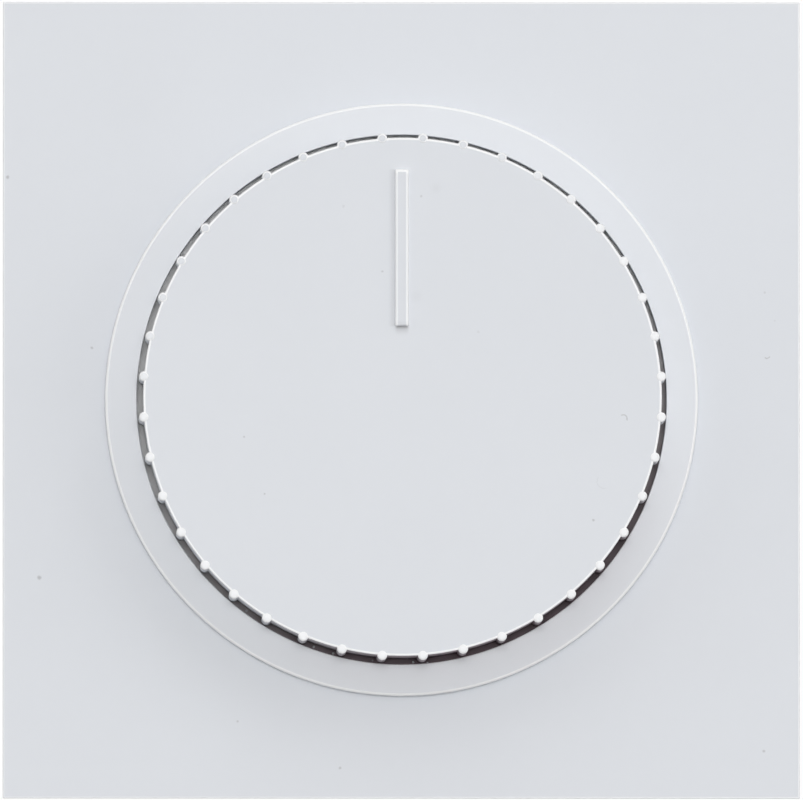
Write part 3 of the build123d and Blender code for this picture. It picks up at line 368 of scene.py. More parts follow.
def dipped(name, colour):
    """A thick dipped coating: glossy, with slow waves and pinholes."""
    material, shader, place = new_finish(name)
    waves = place.noise(380, 2)
    pinholes = place.cells(1600).step(0.12, 0.03)
    connect(shader, {
        "Base Color": (0.7 * waves + 0.3 * pinholes).mix(tint(colour, 1.1), tint(colour, 0.7)),
        "Roughness": 0.22 + 0.15 * waves + 0.2 * pinholes,
        "Normal": (waves - 0.3 * pinholes).bump(0.4, 0.00008),
    })
    return material, shader, place


dress(moulded("film_yellow", FILM_YELLOW, 0.36), "suppression_capacitor")
dress(moulded("sleeve_black", SLEEVE_BLACK, 0.3, 3000), "supply_capacitor")
dress(dipped("varistor_blue", VARISTOR_BLUE)[0], "varistor")
resistor, shader, place = dipped("resistor_beige", RESISTOR_BEIGE)
along = place.axes()[2]
paint = Signal(shader.inputs["Base Color"].links[0].from_socket)
for number, colour in enumerate(BAND_COLOURS):
    off = abs(along - (BAND_FIRST + number * BAND_PITCH))
    paint = off.step(0.55 * BAND_WIDTH, 0.45 * BAND_WIDTH).mix(paint, tint(colour))
connect(shader, {"Base Color": paint})
dress(resistor, "resistors")


# Potentiometer: a zinc die-cast bush and flange, a pressed can, a wafer of brown laminate with its
# brass terminals, and a black rotor that carries the wiper. The shaft is turned aluminium.
ZINC = (0.6, 0.615, 0.63)
LAMINATE_BROWN = (0.24, 0.115, 0.045)
ROTOR_BLACK = (0.03, 0.03, 0.032)


def galvanised(name):
    """Galvanised sheet: crystals of slightly different grey, rolling streaks and a few scratches."""
    material, shader, place = new_finish(name)
    crystals = place.cells(420, "Color")
    grains = crystals.node("SeparateColor", None, {0: crystals}, "Red")
    streaks = place.stretched(0.06, 1, 1).noise(1900, 3)
    scratches = place.stretched(1, 1, 0.03).noise(1300, 1).step(0.68, 0.74)
    shade = 0.5 * grains + 0.5 * streaks
    connect(shader, {
        "Metallic": 1.0,
        "Base Color": shade.mix(tint(ZINC, 0.78), tint(ZINC, 1.16)),
        "Roughness": 0.34 + 0.16 * grains + 0.12 * streaks - 0.1 * scratches,
        "Normal": (0.4 * grains + streaks - 0.7 * scratches).bump(0.3, 0.00001),
    })
    return material


zinc_sheet = galvanised("galvanised_sheet")
dress(plated_steel, "pot_bush")
dress(zinc_sheet, "pot_can")
wafer, shader, place = new_finish("laminate_brown")
fibres = place.stretched(0.1, 1, 1).noise(2600, 3)
layers = place.noise(300, 3)
connect(shader, {
    "Base Color": (0.5 * fibres + 0.5 * layers).mix(tint(LAMINATE_BROWN, 0.7), tint(LAMINATE_BROWN, 1.35)),
    "Roughness": 0.4 + 0.2 * fibres,
    "Normal": fibres.bump(0.3, 0.00001),
})
dress(wafer, "track_wafer")
contact_brass = brass("contact_strip_brass")
dress(contact_brass, "pot_pins", "wiper_contact")
dress(moulded("rotor_black", ROTOR_BLACK, 0.42), "wiper_rotor")
dress(drawn_aluminium("turned_aluminium_finish", (0.03, 1, 0.03)), "shaft")


# Push switch behind the potentiometer: a black case and base, a red plunger with a brass bridge,
# two brass posts, and a coiled return spring, built at one length.
CASE_BLACK = (0.025, 0.025, 0.026)
PLUNGER_RED = (0.48, 0.03, 0.025)
SPRING_STEEL = (0.42, 0.42, 0.43)
SPRING_BLUE = (0.26, 0.28, 0.36)
SPRING_FRONT, SPRING_BACK = 0.01205, 0.01595
SPRING_WIRE, SPRING_OUTSIDE = 0.0005, 0.00285
SPRING_TURNS = 4


def sprung(name):
    """Drawn spring steel, blued a little in clouds, with a trace of oil."""
    material, shader, place = new_finish(name)
    cloud = place.noise(700, 3)
    drawn = place.stretched(1, 4, 1).noise(4200, 2)
    connect(shader, {
        "Metallic": 1.0,
        "Base Color": cloud.step(0.35, 0.75).mix(tint(SPRING_STEEL), tint(SPRING_BLUE)),
        "Roughness": 0.2 + 0.14 * cloud + 0.08 * drawn,
        "Normal": drawn.bump(0.2, 0.000005),
    })
    return material


spring_steel = sprung("blued_spring_steel")
dress(moulded("case_black", CASE_BLACK, 0.4), "switch_housing", "switch_base")
dress(moulded("plunger_red", PLUNGER_RED, 0.34), "switch_plunger")
dress(contact_brass, "contact_bridge", "switch_pins")
spring_length = SPRING_BACK - SPRING_FRONT
spring = wound("coiled_spring", SPRING_WIRE, SPRING_OUTSIDE, SPRING_FRONT,
               (spring_length - SPRING_WIRE) / SPRING_TURNS, SPRING_TURNS)
spring.data.materials.append(spring_steel)
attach(spring, "base")
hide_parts("switch_spring")
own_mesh(spring)


# Support ring: pressed from galvanised steel sheet. It lies on the wall under the box screws, and
# its stepped middle is clamped between the housing and the cover.
dress(zinc_sheet, "support_ring")


# Claws: two levers of galvanised sheet on steel pins in the housing's side channels.
# A slotted screw with a real thread draws a round cross nut forward, and the nut lifts the claw.
CLAW_SCREW_X = 0.0218
SHANK_END = 0.01065
THREAD_FRONT = -0.0018
THREAD_PITCH = 0.0005
THREAD_CREST, THREAD_ROOT = 0.0015, 0.00122
FLANK, CREST_FLAT, ROOT_FLAT = 0.4, 0.15, 0.05      # shares of the pitch
THREAD_WELD = 0.000002                              # turns this close are joined
HEAD_SEAT, HEAD_FACE = -0.00245, -0.00395
HEAD_RADIUS = 0.0028
HEAD_ROUND = 0.0005
SLOT_WIDTH, SLOT_DEPTH = 0.0008, 0.0007
FACING_FRONT = (math.radians(90), 0, 0)

dress(zinc_sheet, "left_claw", "right_claw")
dress(plated_steel, "left_claw_nut", "right_claw_nut", "claw_pins")


def level(value, goal):
    return abs(value - goal) < NEAR


def pick(piece, kind, test):
    """In edit mode, selects only the edges or faces whose corners pass a test."""
    bpy.ops.mesh.select_mode(type=kind)
    bpy.ops.mesh.select_all(action="DESELECT")
    mesh = bmesh.from_edit_mesh(piece.data)
    for part in mesh.edges if kind == "EDGE" else mesh.faces:
        part.select_set(test([vertex.co for vertex in part.verts]))
    mesh.select_flush_mode()
    bmesh.update_edit_mesh(piece.data)


def rings(piece, *stations):
    """Extrudes the selected ring of edges from one radius and depth about the Y axis to the next."""
    for radius, depth in stations:
        mesh = bmesh.from_edit_mesh(piece.data)
        point = next(vertex.co.copy() for vertex in mesh.verts if vertex.select)
        share = radius / math.hypot(point.x, point.z)
        bpy.ops.mesh.extrude_region_move(TRANSFORM_OT_translate={"value": (0, depth - point.y, 0)})
        bpy.ops.transform.resize(value=(share, 1, share), center_override=(0, 0, 0))


def block(name, low, high):
    """A box between two corners, open in edit mode."""
    return begin(name, bpy.ops.mesh.primitive_cube_add, size=1.0,
                 location=[(start + end) / 2 for start, end in zip(low, high)],
                 scale=[end - start for start, end in zip(low, high)])


def cut(piece, tool, operation="DIFFERENCE"):
    """Leaves edit mode, cuts one mesh out of another or joins it on, and removes it."""
    bpy.ops.object.mode_set(mode="OBJECT")
    apply_modifier(piece, "BOOLEAN", operation=operation, solver="EXACT", object=tool)
    bpy.data.objects.remove(tool)


claw_screw = begin("claw_screw_thread", bpy.ops.mesh.primitive_plane_add, size=0.001)
bpy.ops.mesh.merge(type="CENTER")
bpy.ops.transform.translate(value=(THREAD_ROOT, THREAD_FRONT, 0))
thread_height = THREAD_CREST - THREAD_ROOT
for rise, share in ((thread_height, FLANK), (0, CREST_FLAT), (-thread_height, FLANK), (0, ROOT_FLAT)):
    bpy.ops.mesh.extrude_region_move(TRANSFORM_OT_translate={"value": (rise, share * THREAD_PITCH, 0)})
bpy.ops.object.mode_set(mode="OBJECT")
thread_turns = math.floor((SHANK_END - THREAD_FRONT) / THREAD_PITCH) - 1
apply_modifier(claw_screw, "SCREW", axis="Y", angle=2 * math.pi, screw_offset=THREAD_PITCH,
               iterations=thread_turns, steps=32, render_steps=32, use_merge_vertices=True,
               merge_threshold=THREAD_WELD)
bpy.ops.object.mode_set(mode="EDIT")
bpy.ops.mesh.select_all(action="SELECT")
bpy.ops.mesh.remove_doubles(threshold=THREAD_WELD)
bpy.ops.mesh.fill_holes(sides=0)
bpy.ops.mesh.select_all(action="SELECT")
bpy.ops.mesh.normals_make_consistent(inside=False)
bpy.ops.object.mode_set(mode="OBJECT")

head = begin("claw_screw_head", bpy.ops.mesh.primitive_circle_add, vertices=64, radius=THREAD_ROOT,
             rotation=FACING_FRONT, location=(0, THREAD_FRONT + 2 * THREAD_PITCH, 0), fill_type="NGON")
pick(head, "EDGE", lambda ends: True)
rings(head, (THREAD_ROOT, HEAD_SEAT), (HEAD_RADIUS, HEAD_SEAT), (HEAD_RADIUS, HEAD_FACE))
bpy.ops.mesh.edge_face_add()
pick(head, "EDGE", lambda ends: all(level(end.y, HEAD_FACE) for end in ends))
bpy.ops.mesh.bevel(offset=HEAD_ROUND, segments=5, affect="EDGES")
bpy.ops.mesh.select_all(action="SELECT")
bpy.ops.mesh.normals_make_consistent(inside=False)
bpy.ops.object.mode_set(mode="OBJECT")
cut(head, block("claw_screw_slot",
                (-1.5 * HEAD_RADIUS, HEAD_FACE - SLOT_DEPTH, -SLOT_WIDTH / 2),
                (1.5 * HEAD_RADIUS, HEAD_FACE + SLOT_DEPTH, SLOT_WIDTH / 2)))
cut(claw_screw, head, "UNION")
finish_mesh(claw_screw, 40)
claw_screw.data.materials.append(plated_steel)
for side, x in (("left", -CLAW_SCREW_X), ("right", CLAW_SCREW_X)):
    screw = claw_screw.copy()
    screw.data = claw_screw.data.copy()
    screw.name = screw.data.name = side + "_threaded_screw"
    bpy.context.collection.objects.link(screw)
    select_only(screw)
    bpy.ops.transform.translate(value=(x, 0, 0))
    bpy.ops.object.transform_apply(location=True, rotation=False, scale=False)
    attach(screw, side + "_screw")
    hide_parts(side + "_claw_screw")
bpy.data.objects.remove(claw_screw)


# Front cover: the insert's moulded lid, in the housing's grey, on the ring's stepped middle.
# Four countersunk, slotted and plated screws go through lid and ring into the housing.
COVER_GREY = (0.4, 0.41, 0.42)
dress(moulded("cover_grey", COVER_GREY, 0.48), "front_cover")
dress(plated_steel, "cover_screws")


# Centre plate: one moulding in satin white plastic, a shallow square tray with crisp edges and a
# low round collar. The knob's well is sunk in the collar, and the tray is ribbed behind.
PLATE_HALF = 0.035
PLATE_FACE, PLATE_BACK = -0.008, -0.0012
PLATE_CEILING = -0.006
PLATE_RIM = 0.0019
PLATE_EDGE = 0.0001
LIP_BACK, LIP_STEP, LIP_DRAFT = -0.006, 0.0005, 0.00012
COLLAR_RADIUS, COLLAR_TOP = 0.02603, -0.0095
COLLAR_EDGE = 0.00025
WELL_RADIUS, WELL_FLOOR = 0.02326, -0.0058
WELL_EDGE = 0.0001
WELL_OUTSIDE, WELL_BACK = 0.02492, -0.0044
BUSH_HOLE = 0.0052
PEG_HOLE, PEG_PLACE, PEG_CUT = 0.0012, 0.012, 0.004
TRAY_RIBS, TRAY_RIB_WIDTH, TRAY_RIB_BACK = 8, 0.001, -0.0046
TRAY_RIB_SINK = 0.0004                    # into the back of the tray
WALL_SINK = 0.0005                        # into the walls at the ends of a rib or web
ROUND_STEPS = 256

plate = begin("collar_plate", bpy.ops.mesh.primitive_circle_add, vertices=ROUND_STEPS,
              radius=COLLAR_RADIUS, rotation=FACING_FRONT, location=(0, PLATE_FACE, 0))
rings(plate, (COLLAR_RADIUS, COLLAR_TOP), (WELL_RADIUS, COLLAR_TOP), (WELL_RADIUS, WELL_FLOOR),
      (BUSH_HOLE, WELL_FLOOR), (BUSH_HOLE, WELL_BACK), (WELL_OUTSIDE, WELL_BACK),
      (WELL_OUTSIDE, PLATE_CEILING))
bpy.ops.object.mode_set(mode="OBJECT")
begin("plate_square", bpy.ops.mesh.primitive_plane_add, size=2 * PLATE_HALF,
      rotation=FACING_FRONT, location=(0, PLATE_FACE, 0))
bpy.ops.mesh.delete(type="ONLY_FACE")
bpy.ops.mesh.select_all(action="SELECT")
bpy.ops.mesh.subdivide(number_cuts=ROUND_STEPS // 4 - 1)
bpy.ops.mesh.extrude_region_move(TRANSFORM_OT_translate={"value": (0, LIP_BACK - PLATE_FACE, 0)})
lip_half, rim_half, inside_half = PLATE_HALF - LIP_DRAFT, PLATE_HALF - LIP_STEP, PLATE_HALF - PLATE_RIM
lip_share = lip_half / PLATE_HALF
bpy.ops.transform.resize(value=(lip_share, 1, lip_share), center_override=(0, 0, 0))
for share, advance in ((rim_half / lip_half, PLATE_BACK - LIP_BACK),
                       (inside_half / rim_half, PLATE_CEILING - PLATE_BACK)):
    bpy.ops.mesh.extrude_region_move()
    bpy.ops.transform.resize(value=(share, 1, share), center_override=(0, 0, 0))
    bpy.ops.mesh.extrude_region_move(TRANSFORM_OT_translate={"value": (0, advance, 0)})
bpy.ops.object.mode_set(mode="OBJECT")
plate.select_set(True)
bpy.context.view_layer.objects.active = plate
bpy.ops.object.join()
bpy.ops.object.mode_set(mode="EDIT")


def on_square(point, half):
    return level(max(abs(point.x), abs(point.z)), half)


def on_circle(point, radius):
    return level(math.hypot(point.x, point.z), radius)


def round_edge(piece, radius, depth, rounding, segments):
    """Rounds one circular edge about the knob's axis."""
    pick(piece, "EDGE", lambda ends: all(
        level(end.y, depth) and on_circle(end, radius) for end in ends))
    bpy.ops.mesh.bevel(offset=rounding, segments=segments, affect="EDGES")


def turn(angle):
    """Turns what is selected about the knob's axis."""
    bpy.ops.transform.rotate(value=angle, orient_axis="Y", center_override=(0, 0, 0))


for depth, half, radius in ((PLATE_FACE, PLATE_HALF, COLLAR_RADIUS),
                            (PLATE_CEILING, inside_half, WELL_OUTSIDE)):
    pick(plate, "EDGE", lambda ends: all(
        level(end.y, depth) and (on_square(end, half) or on_circle(end, radius)) for end in ends))
    bpy.ops.mesh.bridge_edge_loops()
bpy.ops.mesh.select_all(action="SELECT")
bpy.ops.mesh.normals_make_consistent(inside=False)
pick(plate, "EDGE", lambda ends: (
    all(end.y < LIP_BACK + NEAR and (on_square(end, PLATE_HALF) or on_square(end, lip_half))
        for end in ends)
    and (all(level(end.y, PLATE_FACE) for end in ends)
         or all(level(abs(end.x), abs(end.z)) for end in ends))))
bpy.ops.mesh.bevel(offset=PLATE_EDGE, segments=4, affect="EDGES")
round_edge(plate, COLLAR_RADIUS, COLLAR_TOP, COLLAR_EDGE, 5)
round_edge(plate, WELL_RADIUS, COLLAR_TOP, WELL_EDGE, 3)
bpy.ops.object.mode_set(mode="OBJECT")

for number in range(TRAY_RIBS):
    rib = block("plate_rib",
                (WELL_OUTSIDE - WALL_SINK, PLATE_CEILING - TRAY_RIB_SINK, -TRAY_RIB_WIDTH / 2),
                (inside_half + WALL_SINK, TRAY_RIB_BACK, TRAY_RIB_WIDTH / 2))
    turn(2 * math.pi * number / TRAY_RIBS)
    cut(plate, rib, "UNION")
for x in (-PEG_PLACE, PEG_PLACE):
    peg = begin("peg_hole", bpy.ops.mesh.primitive_cylinder_add, vertices=32, radius=PEG_HOLE,
                depth=PEG_CUT, rotation=FACING_FRONT, location=(x, (WELL_FLOOR + WELL_BACK) / 2, 0))
    cut(plate, peg)
finish_mesh(plate)

WHITE = (0.69, 0.712, 0.75)
# Grey of the dust, hairs and smudges, also used as painted shadow beside and below the pointer bar.
DIRT_AND_SHADE = (0.2, 0.19, 0.19)
# Dark plum painted as shade in the lower part of the knob's well and on the lower part of the knob's
# skirt.
PLUM_SHADE = (0.14, 0.074, 0.1)
# Near white painted as highlights along edges, and as painted light in the well and on the collar.
PAINTED_LIGHT_WHITE = (0.98, 0.985, 0.99)


def away_from(flat, x, z):
    """Distance on the front from a place that is given in millimetres."""
    centre = (x / 1000, 0, z / 1000)
    return flat.node("VectorMath", {"operation": "DISTANCE"}, {0: flat, 1: centre}, "Value")


def spot(flat, x, z, radius, blur=0.6):
    """A round mark on the front, in millimetres."""
    radius = radius / 1000
    return away_from(flat, x, z).step(radius * (1 + blur), radius * (1 - blur))


def curl(flat, x, z, radius, width, lean):
    """A short bent hair: the part of a thin ring that lies to one side of its centre."""
    ring = abs(away_from(flat, x, z) - radius / 1000)
    line = ring.step(width / 1000, 0.3 * width / 1000)
    across, up = math.cos(math.radians(lean)), math.sin(math.radians(lean))
    side = flat.node("VectorMath", {"operation": "DOT_PRODUCT"}, {0: flat, 1: (across, 0, up)}, "Value")
    middle = (x * across + z * up) / 1000
    return line * (side - middle).step(0.1 * radius / 1000, 0.45 * radius / 1000)


def satin_white(name, front, specks, hairs, smudges):
    """Satin white plastic with faint flow clouds and fine grain.

    On its front are dust specks, hairs and smudges: places, sizes and strengths in millimetres.
    """
    material, shader, place = new_finish(name)
    x, y, z = place.axes()
    wobble = place.noise(3500, 2) * 0.00016
    flat = x.node("CombineXYZ", None, {"X": x + wobble, "Z": z - wobble})
    on_front = (y - front).step(0.0004, 0.0002)
    dirt = on_front * (sum(strength * spot(flat, *mark) for *mark, strength in specks)
                       + sum(strength * curl(flat, *hair) for *hair, strength in hairs))
    smudge = on_front * sum(strength * spot(flat, *mark, blur=0.9) for *mark, strength in smudges)
    cloud = place.noise(70, 3)
    fine = place.noise(5200, 3)
    white = (0.7 * cloud + 0.3 * place.noise(900, 2)).mix(tint(WHITE, 0.985), tint(WHITE, 1.015))
    white = (dirt + smudge).mix(white, tint(DIRT_AND_SHADE))
    relief = fine + 0.4 * place.noise(1500, 2) + 2.0 * dirt
    connect(shader, {
        "Roughness": 0.44 + 0.06 * cloud + 0.3 * smudge,
        "Normal": relief.bump(0.16, 0.000008),
    })
    return material, shader, place, white


def off_axis(x, z):
    """Distance from the knob's axis."""
    flat = x.node("CombineXYZ", None, {"X": x, "Z": z})
    return x.node("VectorMath", {"operation": "LENGTH"}, {0: flat}, "Value")


def lower_side(x, z, radius):
    """About 1 below and a little right of the knob's axis, and -1 opposite; the painted shade is laid
    along it.
    """
    return (0.4 * x - 0.9 * z) / radius


def grains_of_dust(place):
    """A few pale grains, scattered by chance."""
    chance = place.node("SeparateColor", None, {0: place.cells(1700, "Color")}, "Red")
    return place.cells(1700).step(0.26, 0.16) * chance.step(0.72, 0.76)


plate_white, shader, place, white = satin_white(
    "satin_white_plate", PLATE_FACE,
    specks=((-34.5, 19.5, 0.14, 0.4), (-27.1, 4.5, 0.1, 0.35), (-31.7, -15.7, 0.16, 0.45),
            (-5.3, -32.4, 0.12, 0.35), (-14.3, -28.3, 0.1, 0.3), (31.9, -30.9, 0.12, 0.35),
            (32.0, 9.4, 0.1, 0.2), (32.9, 6.9, 0.08, 0.12)),
    hairs=((32.2, 3.8, 0.2, 0.08, -75, 0.35),),
    smudges=((-24.0, 26.0, 3.0, 0.012), (27.0, -22.0, 4.0, 0.01)))
x, y, z = place.axes()
radius = off_axis(x, z)
below_top, below_plate = y - COLLAR_TOP, y - PLATE_FACE
# Painted light: the well is painted near white and the collar a little paler. Painted highlights: near
# white on the collar's outer and inner edges and on the plate's edge.
in_well = radius.step(WELL_RADIUS + 0.00008, WELL_RADIUS + 0.00001) * below_top.step(0.0008, 0.0026)
on_collar = radius.step(COLLAR_RADIUS, COLLAR_RADIUS - 0.0003) * below_top.step(0.0004, 0.0002)
outer_edge = radius.step(COLLAR_RADIUS - 0.0003, COLLAR_RADIUS - 0.00016) * below_top.step(0.0006, 0.0002)
inner_edge = radius.step(WELL_RADIUS + 0.0002, WELL_RADIUS + 0.0001) * below_top.step(0.0004, 0.0002)
to_side = abs(x).larger(abs(z))
plate_edge = to_side.step(PLATE_HALF - 0.00018, PLATE_HALF - 0.00009) * below_plate.step(0.0004, 0.0002)
edge_highlights = outer_edge + 0.4 * inner_edge + 0.6 * plate_edge
pale = (in_well + 0.15 * on_collar).larger(edge_highlights)
# Painted shade: the well darkens to plum towards its lower side. Pale dust grains lie in that shade.
well_shade = in_well * lower_side(x, z, radius).step(-0.3, 1.0)
dust = grains_of_dust(place) * well_shade
finish = well_shade.mix(pale.mix(white, tint(PAINTED_LIGHT_WHITE)), tint(PLUM_SHADE))
connect(shader, {"Base Color": dust.mix(finish, tint(WHITE))})
plate.data.materials.append(plate_white)
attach(plate, "base")
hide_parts("centre_plate")


# Plate nut and knob clip: a turned and plated hexagonal nut that clamps the plate on the bush,
# and an open ring of spring steel that presses the knob's split hub on to the shaft.
dress(plated_steel, "plate_nut")
dress(spring_steel, "knob_clip")


# Knob: one moulding in the plate's white, a flat cap with a rounded rim, forty half-round ribs and
# a raised straight bar as pointer. Its hub and webs are inside, on the potentiometer's shaft.
KNOB_RADIUS, KNOB_FACE = 0.0227, -0.016
KNOB_EDGE = 0.0001
SKIRT_END, SKIRT_INSIDE = -0.0074, 0.02117
KNOB_CEILING = -0.0142
HUB_RADIUS, HUB_END = 0.005, -0.0103
SHAFT_BORE = 0.00303
WEB_COUNT, WEB_WIDTH, WEB_BACK = 6, 0.001, -0.0124
CAP_SINK = 0.0006                         # webs and bar into the cap
RIB_COUNT, RIB_RADIUS = 40, 0.00044
RIB_FRONT, RIB_FOOT = -0.01606, -0.0077
RIB_ROUND = 0.00018
BAR_X, BAR_HALF = -0.00006, 0.0006
BAR_NEAR, BAR_FAR, BAR_FRONT = 0.00617, 0.01992, -0.01645
BAR_ROUND = 0.00016

knob = begin("ribbed_knob", bpy.ops.mesh.primitive_circle_add, vertices=ROUND_STEPS, radius=SHAFT_BORE,
             rotation=FACING_FRONT, location=(0, KNOB_CEILING, 0), fill_type="NGON")
pick(knob, "EDGE", lambda ends: True)
rings(knob, (SHAFT_BORE, HUB_END), (HUB_RADIUS, HUB_END), (HUB_RADIUS, KNOB_CEILING),
      (SKIRT_INSIDE, KNOB_CEILING), (SKIRT_INSIDE, SKIRT_END), (KNOB_RADIUS, SKIRT_END),
      (KNOB_RADIUS, KNOB_FACE))
bpy.ops.mesh.edge_face_add()
bpy.ops.mesh.select_all(action="SELECT")
bpy.ops.mesh.normals_make_consistent(inside=False)
round_edge(knob, KNOB_RADIUS, KNOB_FACE, KNOB_EDGE, 5)
bpy.ops.object.mode_set(mode="OBJECT")

webs = block("knob_web", (HUB_RADIUS - WALL_SINK, KNOB_CEILING - CAP_SINK, -WEB_WIDTH / 2),
             (SKIRT_INSIDE + WALL_SINK, WEB_BACK, WEB_WIDTH / 2))
for number in range(1, WEB_COUNT):
    pick(webs, "FACE", lambda corners: all(
        corner.x > 0 and abs(corner.z) < WEB_WIDTH for corner in corners))
    bpy.ops.mesh.duplicate()
    turn(2 * math.pi * number / WEB_COUNT)
cut(knob, webs, "UNION")

ribs = begin("rim_ribs", bpy.ops.mesh.primitive_cylinder_add, vertices=28, radius=RIB_RADIUS,
             depth=RIB_FOOT - RIB_FRONT, rotation=FACING_FRONT,
             location=(0, (RIB_FOOT + RIB_FRONT) / 2, KNOB_RADIUS))
pick(ribs, "EDGE", lambda ends: all(level(end.y, RIB_FRONT) for end in ends))
bpy.ops.mesh.bevel(offset=RIB_ROUND, segments=4, affect="EDGES")
bpy.ops.mesh.select_all(action="SELECT")
turn(math.pi / RIB_COUNT)
for number in range(1, RIB_COUNT):
    bpy.ops.mesh.duplicate()
    turn(2 * math.pi / RIB_COUNT)
cut(knob, ribs, "UNION")

bar = block("pointer_bar", (BAR_X - BAR_HALF, BAR_FRONT, BAR_NEAR),
            (BAR_X + BAR_HALF, KNOB_FACE + CAP_SINK, BAR_FAR))
pick(bar, "EDGE", lambda ends: (
    all(level(end.y, BAR_FRONT) for end in ends) or not level(ends[0].y, ends[1].y)))
bpy.ops.mesh.bevel(offset=BAR_ROUND, segments=4, affect="EDGES")
cut(knob, bar, "UNION")
finish_mesh(knob)

knob_white, shader, place, white = satin_white(
    "satin_white_knob", KNOB_FACE,
    specks=((-1.7, 10.9, 0.09, 0.3), (1.7, 17.5, 0.1, 0.25), (-5.1, 16.6, 0.13, 0.13),
            (-13.8, -3.6, 0.08, 0.3), (-12.0, -8.6, 0.08, 0.35), (16.8, -10.9, 0.1, 0.4),
            (6.7, 5.6, 0.1, 0.12)),
    hairs=((19.4, -2.0, 0.34, 0.09, 50, 0.35), (17.7, -7.5, 0.6, 0.07, 215, 0.08)),
    smudges=((3.0, 18.2, 0.35, 0.05), (1.3, 8.7, 0.4, 0.04)))
x, y, z = place.axes()
radius = off_axis(x, z)
low_side = lower_side(x, z, radius)
below_face = y - KNOB_FACE
across_bar, above_near, above_far = x - BAR_X, z - BAR_NEAR, z - BAR_FAR
beside_bar = abs(across_bar) - BAR_HALF
past_bar = abs(z - (BAR_NEAR + BAR_FAR) / 2) - (BAR_FAR - BAR_NEAR) / 2
off_bar = beside_bar.larger(past_bar)
proud = below_face.step(-0.00005, -0.0001)

# Painted highlights: near white on the rim, on the rib ends and on the bar's edges.
on_rim = radius.step(KNOB_RADIUS - 0.00024, KNOB_RADIUS - 0.00012) * below_face.step(0.0004, 0.00015)
on_rib = radius.step(KNOB_RADIUS - 0.0006, KNOB_RADIUS - 0.0005) * below_face.step(-0.000005, -0.00002)
off_crown = (y - RIB_FRONT).step(0.000001, 0.00001).larger(0.75 * low_side.step(-1.0, -0.1))
bar_edge = (proud * beside_bar.larger(above_far).step(-0.00029, -0.00018)
            * radius.step(KNOB_RADIUS - 0.001, KNOB_RADIUS - 0.0012))
rubbed_and_highlight = (on_rim.larger(on_rib) * off_crown
          + bar_edge * (0.65 + 0.35 * above_far.step(-0.0005, -0.0002)))

# Painted shadow below and left of the bar, and painted shade over the bar, darkest at its low end.
shadow_below_bar = (beside_bar.step(0.0001, -0.00025) * above_near.step(0.0003, 0.0001)
             * (0.28 * above_near.step(-0.0009, 0.00005) + 0.3 * above_near.step(-0.00025, -0.0001)))
left_of_bar = (past_bar.step(0.0001, -0.0001) * x.step(0.0002, 0.0001)
               * across_bar.step(-BAR_HALF - 0.0007, -BAR_HALF - 0.0001))
on_bar = 0.02 * off_bar.step(-0.0001, -0.0003) + 0.1 * above_near.step(0.0005, 0.0002)
bar_shade = (1 - proud) * off_bar.step(0.001, 0.0008) * (shadow_below_bar + 0.14 * left_of_bar) + proud * on_bar
# Painted shade: plum on the lower part of the skirt, behind the rim.
skirt_shade = (0.88 * below_face.step(0.00005, 0.0005) * low_side.step(0.4, 0.95)
              * radius.step(KNOB_RADIUS - 0.0002, KNOB_RADIUS - 0.0001))
finish = rubbed_and_highlight.mix(bar_shade.mix(white, tint(DIRT_AND_SHADE)), tint(PAINTED_LIGHT_WHITE))
connect(shader, {"Base Color": skirt_shade.mix(finish, tint(PLUM_SHADE))})
knob.data.materials.append(knob_white)
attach(knob, "knob_and_shaft")
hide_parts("knob")


# Studio: a pale floor below the part, a white surround, and five soft lamps: above, in front, at both
# sides and behind. The camera looks at the plate from a little below and left of the knob's axis.
FLOOR_LEVEL, FLOOR_SIDE = -0.12, 4.0
FLOOR_PALE = (0.5, 0.5, 0.5)
FLOOR_GLOW = (0.36, 0.36, 0.36)           # added where only the camera or a mirror sees it
CAMERA_AWAY = 2.5
SENSOR_WIDTH = 36.0                       # millimetres
CAMERA_DOWN, CAMERA_LEFT = 2.17, 0.77     # degrees off the knob's axis
FRAME_WIDTH = 0.07052                     # seen across the plate's face
AIM = Vector((0.00001, PLATE_FACE, 0.00001))
SURROUND = 0.12                           # what the white surround adds to the lamps


def shows_background(tree):
    """1 on the rays that show the background: from the camera, mirrored or through something clear."""
    seen = Signal(tree.nodes.new("ShaderNodeLightPath").outputs["Is Camera Ray"])
    return seen.larger(seen.beside("Is Glossy Ray")).larger(seen.beside("Is Transmission Ray"))


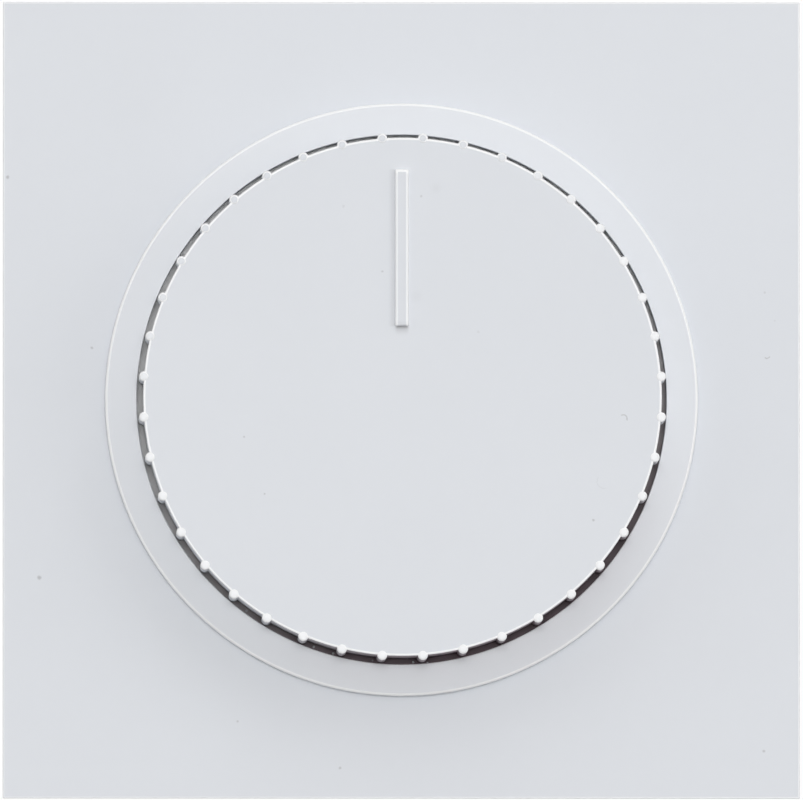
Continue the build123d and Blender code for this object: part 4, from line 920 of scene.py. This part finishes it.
floor = begin("studio_floor", bpy.ops.mesh.primitive_plane_add, size=FLOOR_SIDE,
              location=(0, 0, FLOOR_LEVEL))
bpy.ops.mesh.subdivide(number_cuts=3)
bpy.ops.object.mode_set(mode="OBJECT")
floor_paint, shader, place = new_finish("floor_pale")
cloud = place.noise(6, 3)
connect(shader, {
    "Base Color": cloud.mix(tint(FLOOR_PALE, 0.98), tint(FLOOR_PALE, 1.02)),
    "Roughness": 0.7 + 0.1 * cloud,
    "Emission Color": shows_background(floor_paint.node_tree).mix(tint(FLOOR_GLOW, 0.0), tint(FLOOR_GLOW)),
    "Emission Strength": 1.0,
})
floor.data.materials.append(floor_paint)

for name, watts, size, where in (
        ("lamp_above", 13.5, 1.8, (0.35, -1.44, 1.76)),
        ("lamp_front", 38.0, 0.6, (0.02, -3.2, 0.15)),
        ("lamp_left", 5.5, 1.6, (-1.3, -0.8, 0.35)),
        ("lamp_right", 7.3, 1.4, (1.3, -0.8, 0.25)),
        ("lamp_behind", 6.0, 0.9, (0.3, 1.1, 0.8))):
    lamp = bpy.data.objects.new(name, bpy.data.lights.new(name, "AREA"))
    lamp.data.energy, lamp.data.size = watts, size
    lamp.location = where
    lamp.rotation_euler = (-Vector(where)).to_track_quat("-Z", "Y").to_euler()
    bpy.context.collection.objects.link(lamp)

world = bpy.data.worlds.new("white_surround")
world.use_nodes = True
bpy.context.scene.world = world
background = world.node_tree.nodes["Background"]
plain = shows_background(world.node_tree)
connect(background, {"Color": (1.0, 1.0, 1.0, 1.0), "Strength": SURROUND + (1 - SURROUND) * plain})

camera = bpy.data.objects.new("camera", bpy.data.cameras.new("camera"))
left, down = math.tan(math.radians(CAMERA_LEFT)), math.tan(math.radians(CAMERA_DOWN))
offset = Vector((-left, -1, -down)).normalized()
camera.location = AIM + CAMERA_AWAY * offset
camera.rotation_euler = (-offset).to_track_quat("-Z", "Y").to_euler()
camera.data.sensor_width = SENSOR_WIDTH
camera.data.lens = SENSOR_WIDTH * CAMERA_AWAY / FRAME_WIDTH
camera.data.clip_end = 8 * CAMERA_AWAY
bpy.context.collection.objects.link(camera)
bpy.context.scene.camera = camera
bpy.context.scene.view_settings.view_transform = "Standard"
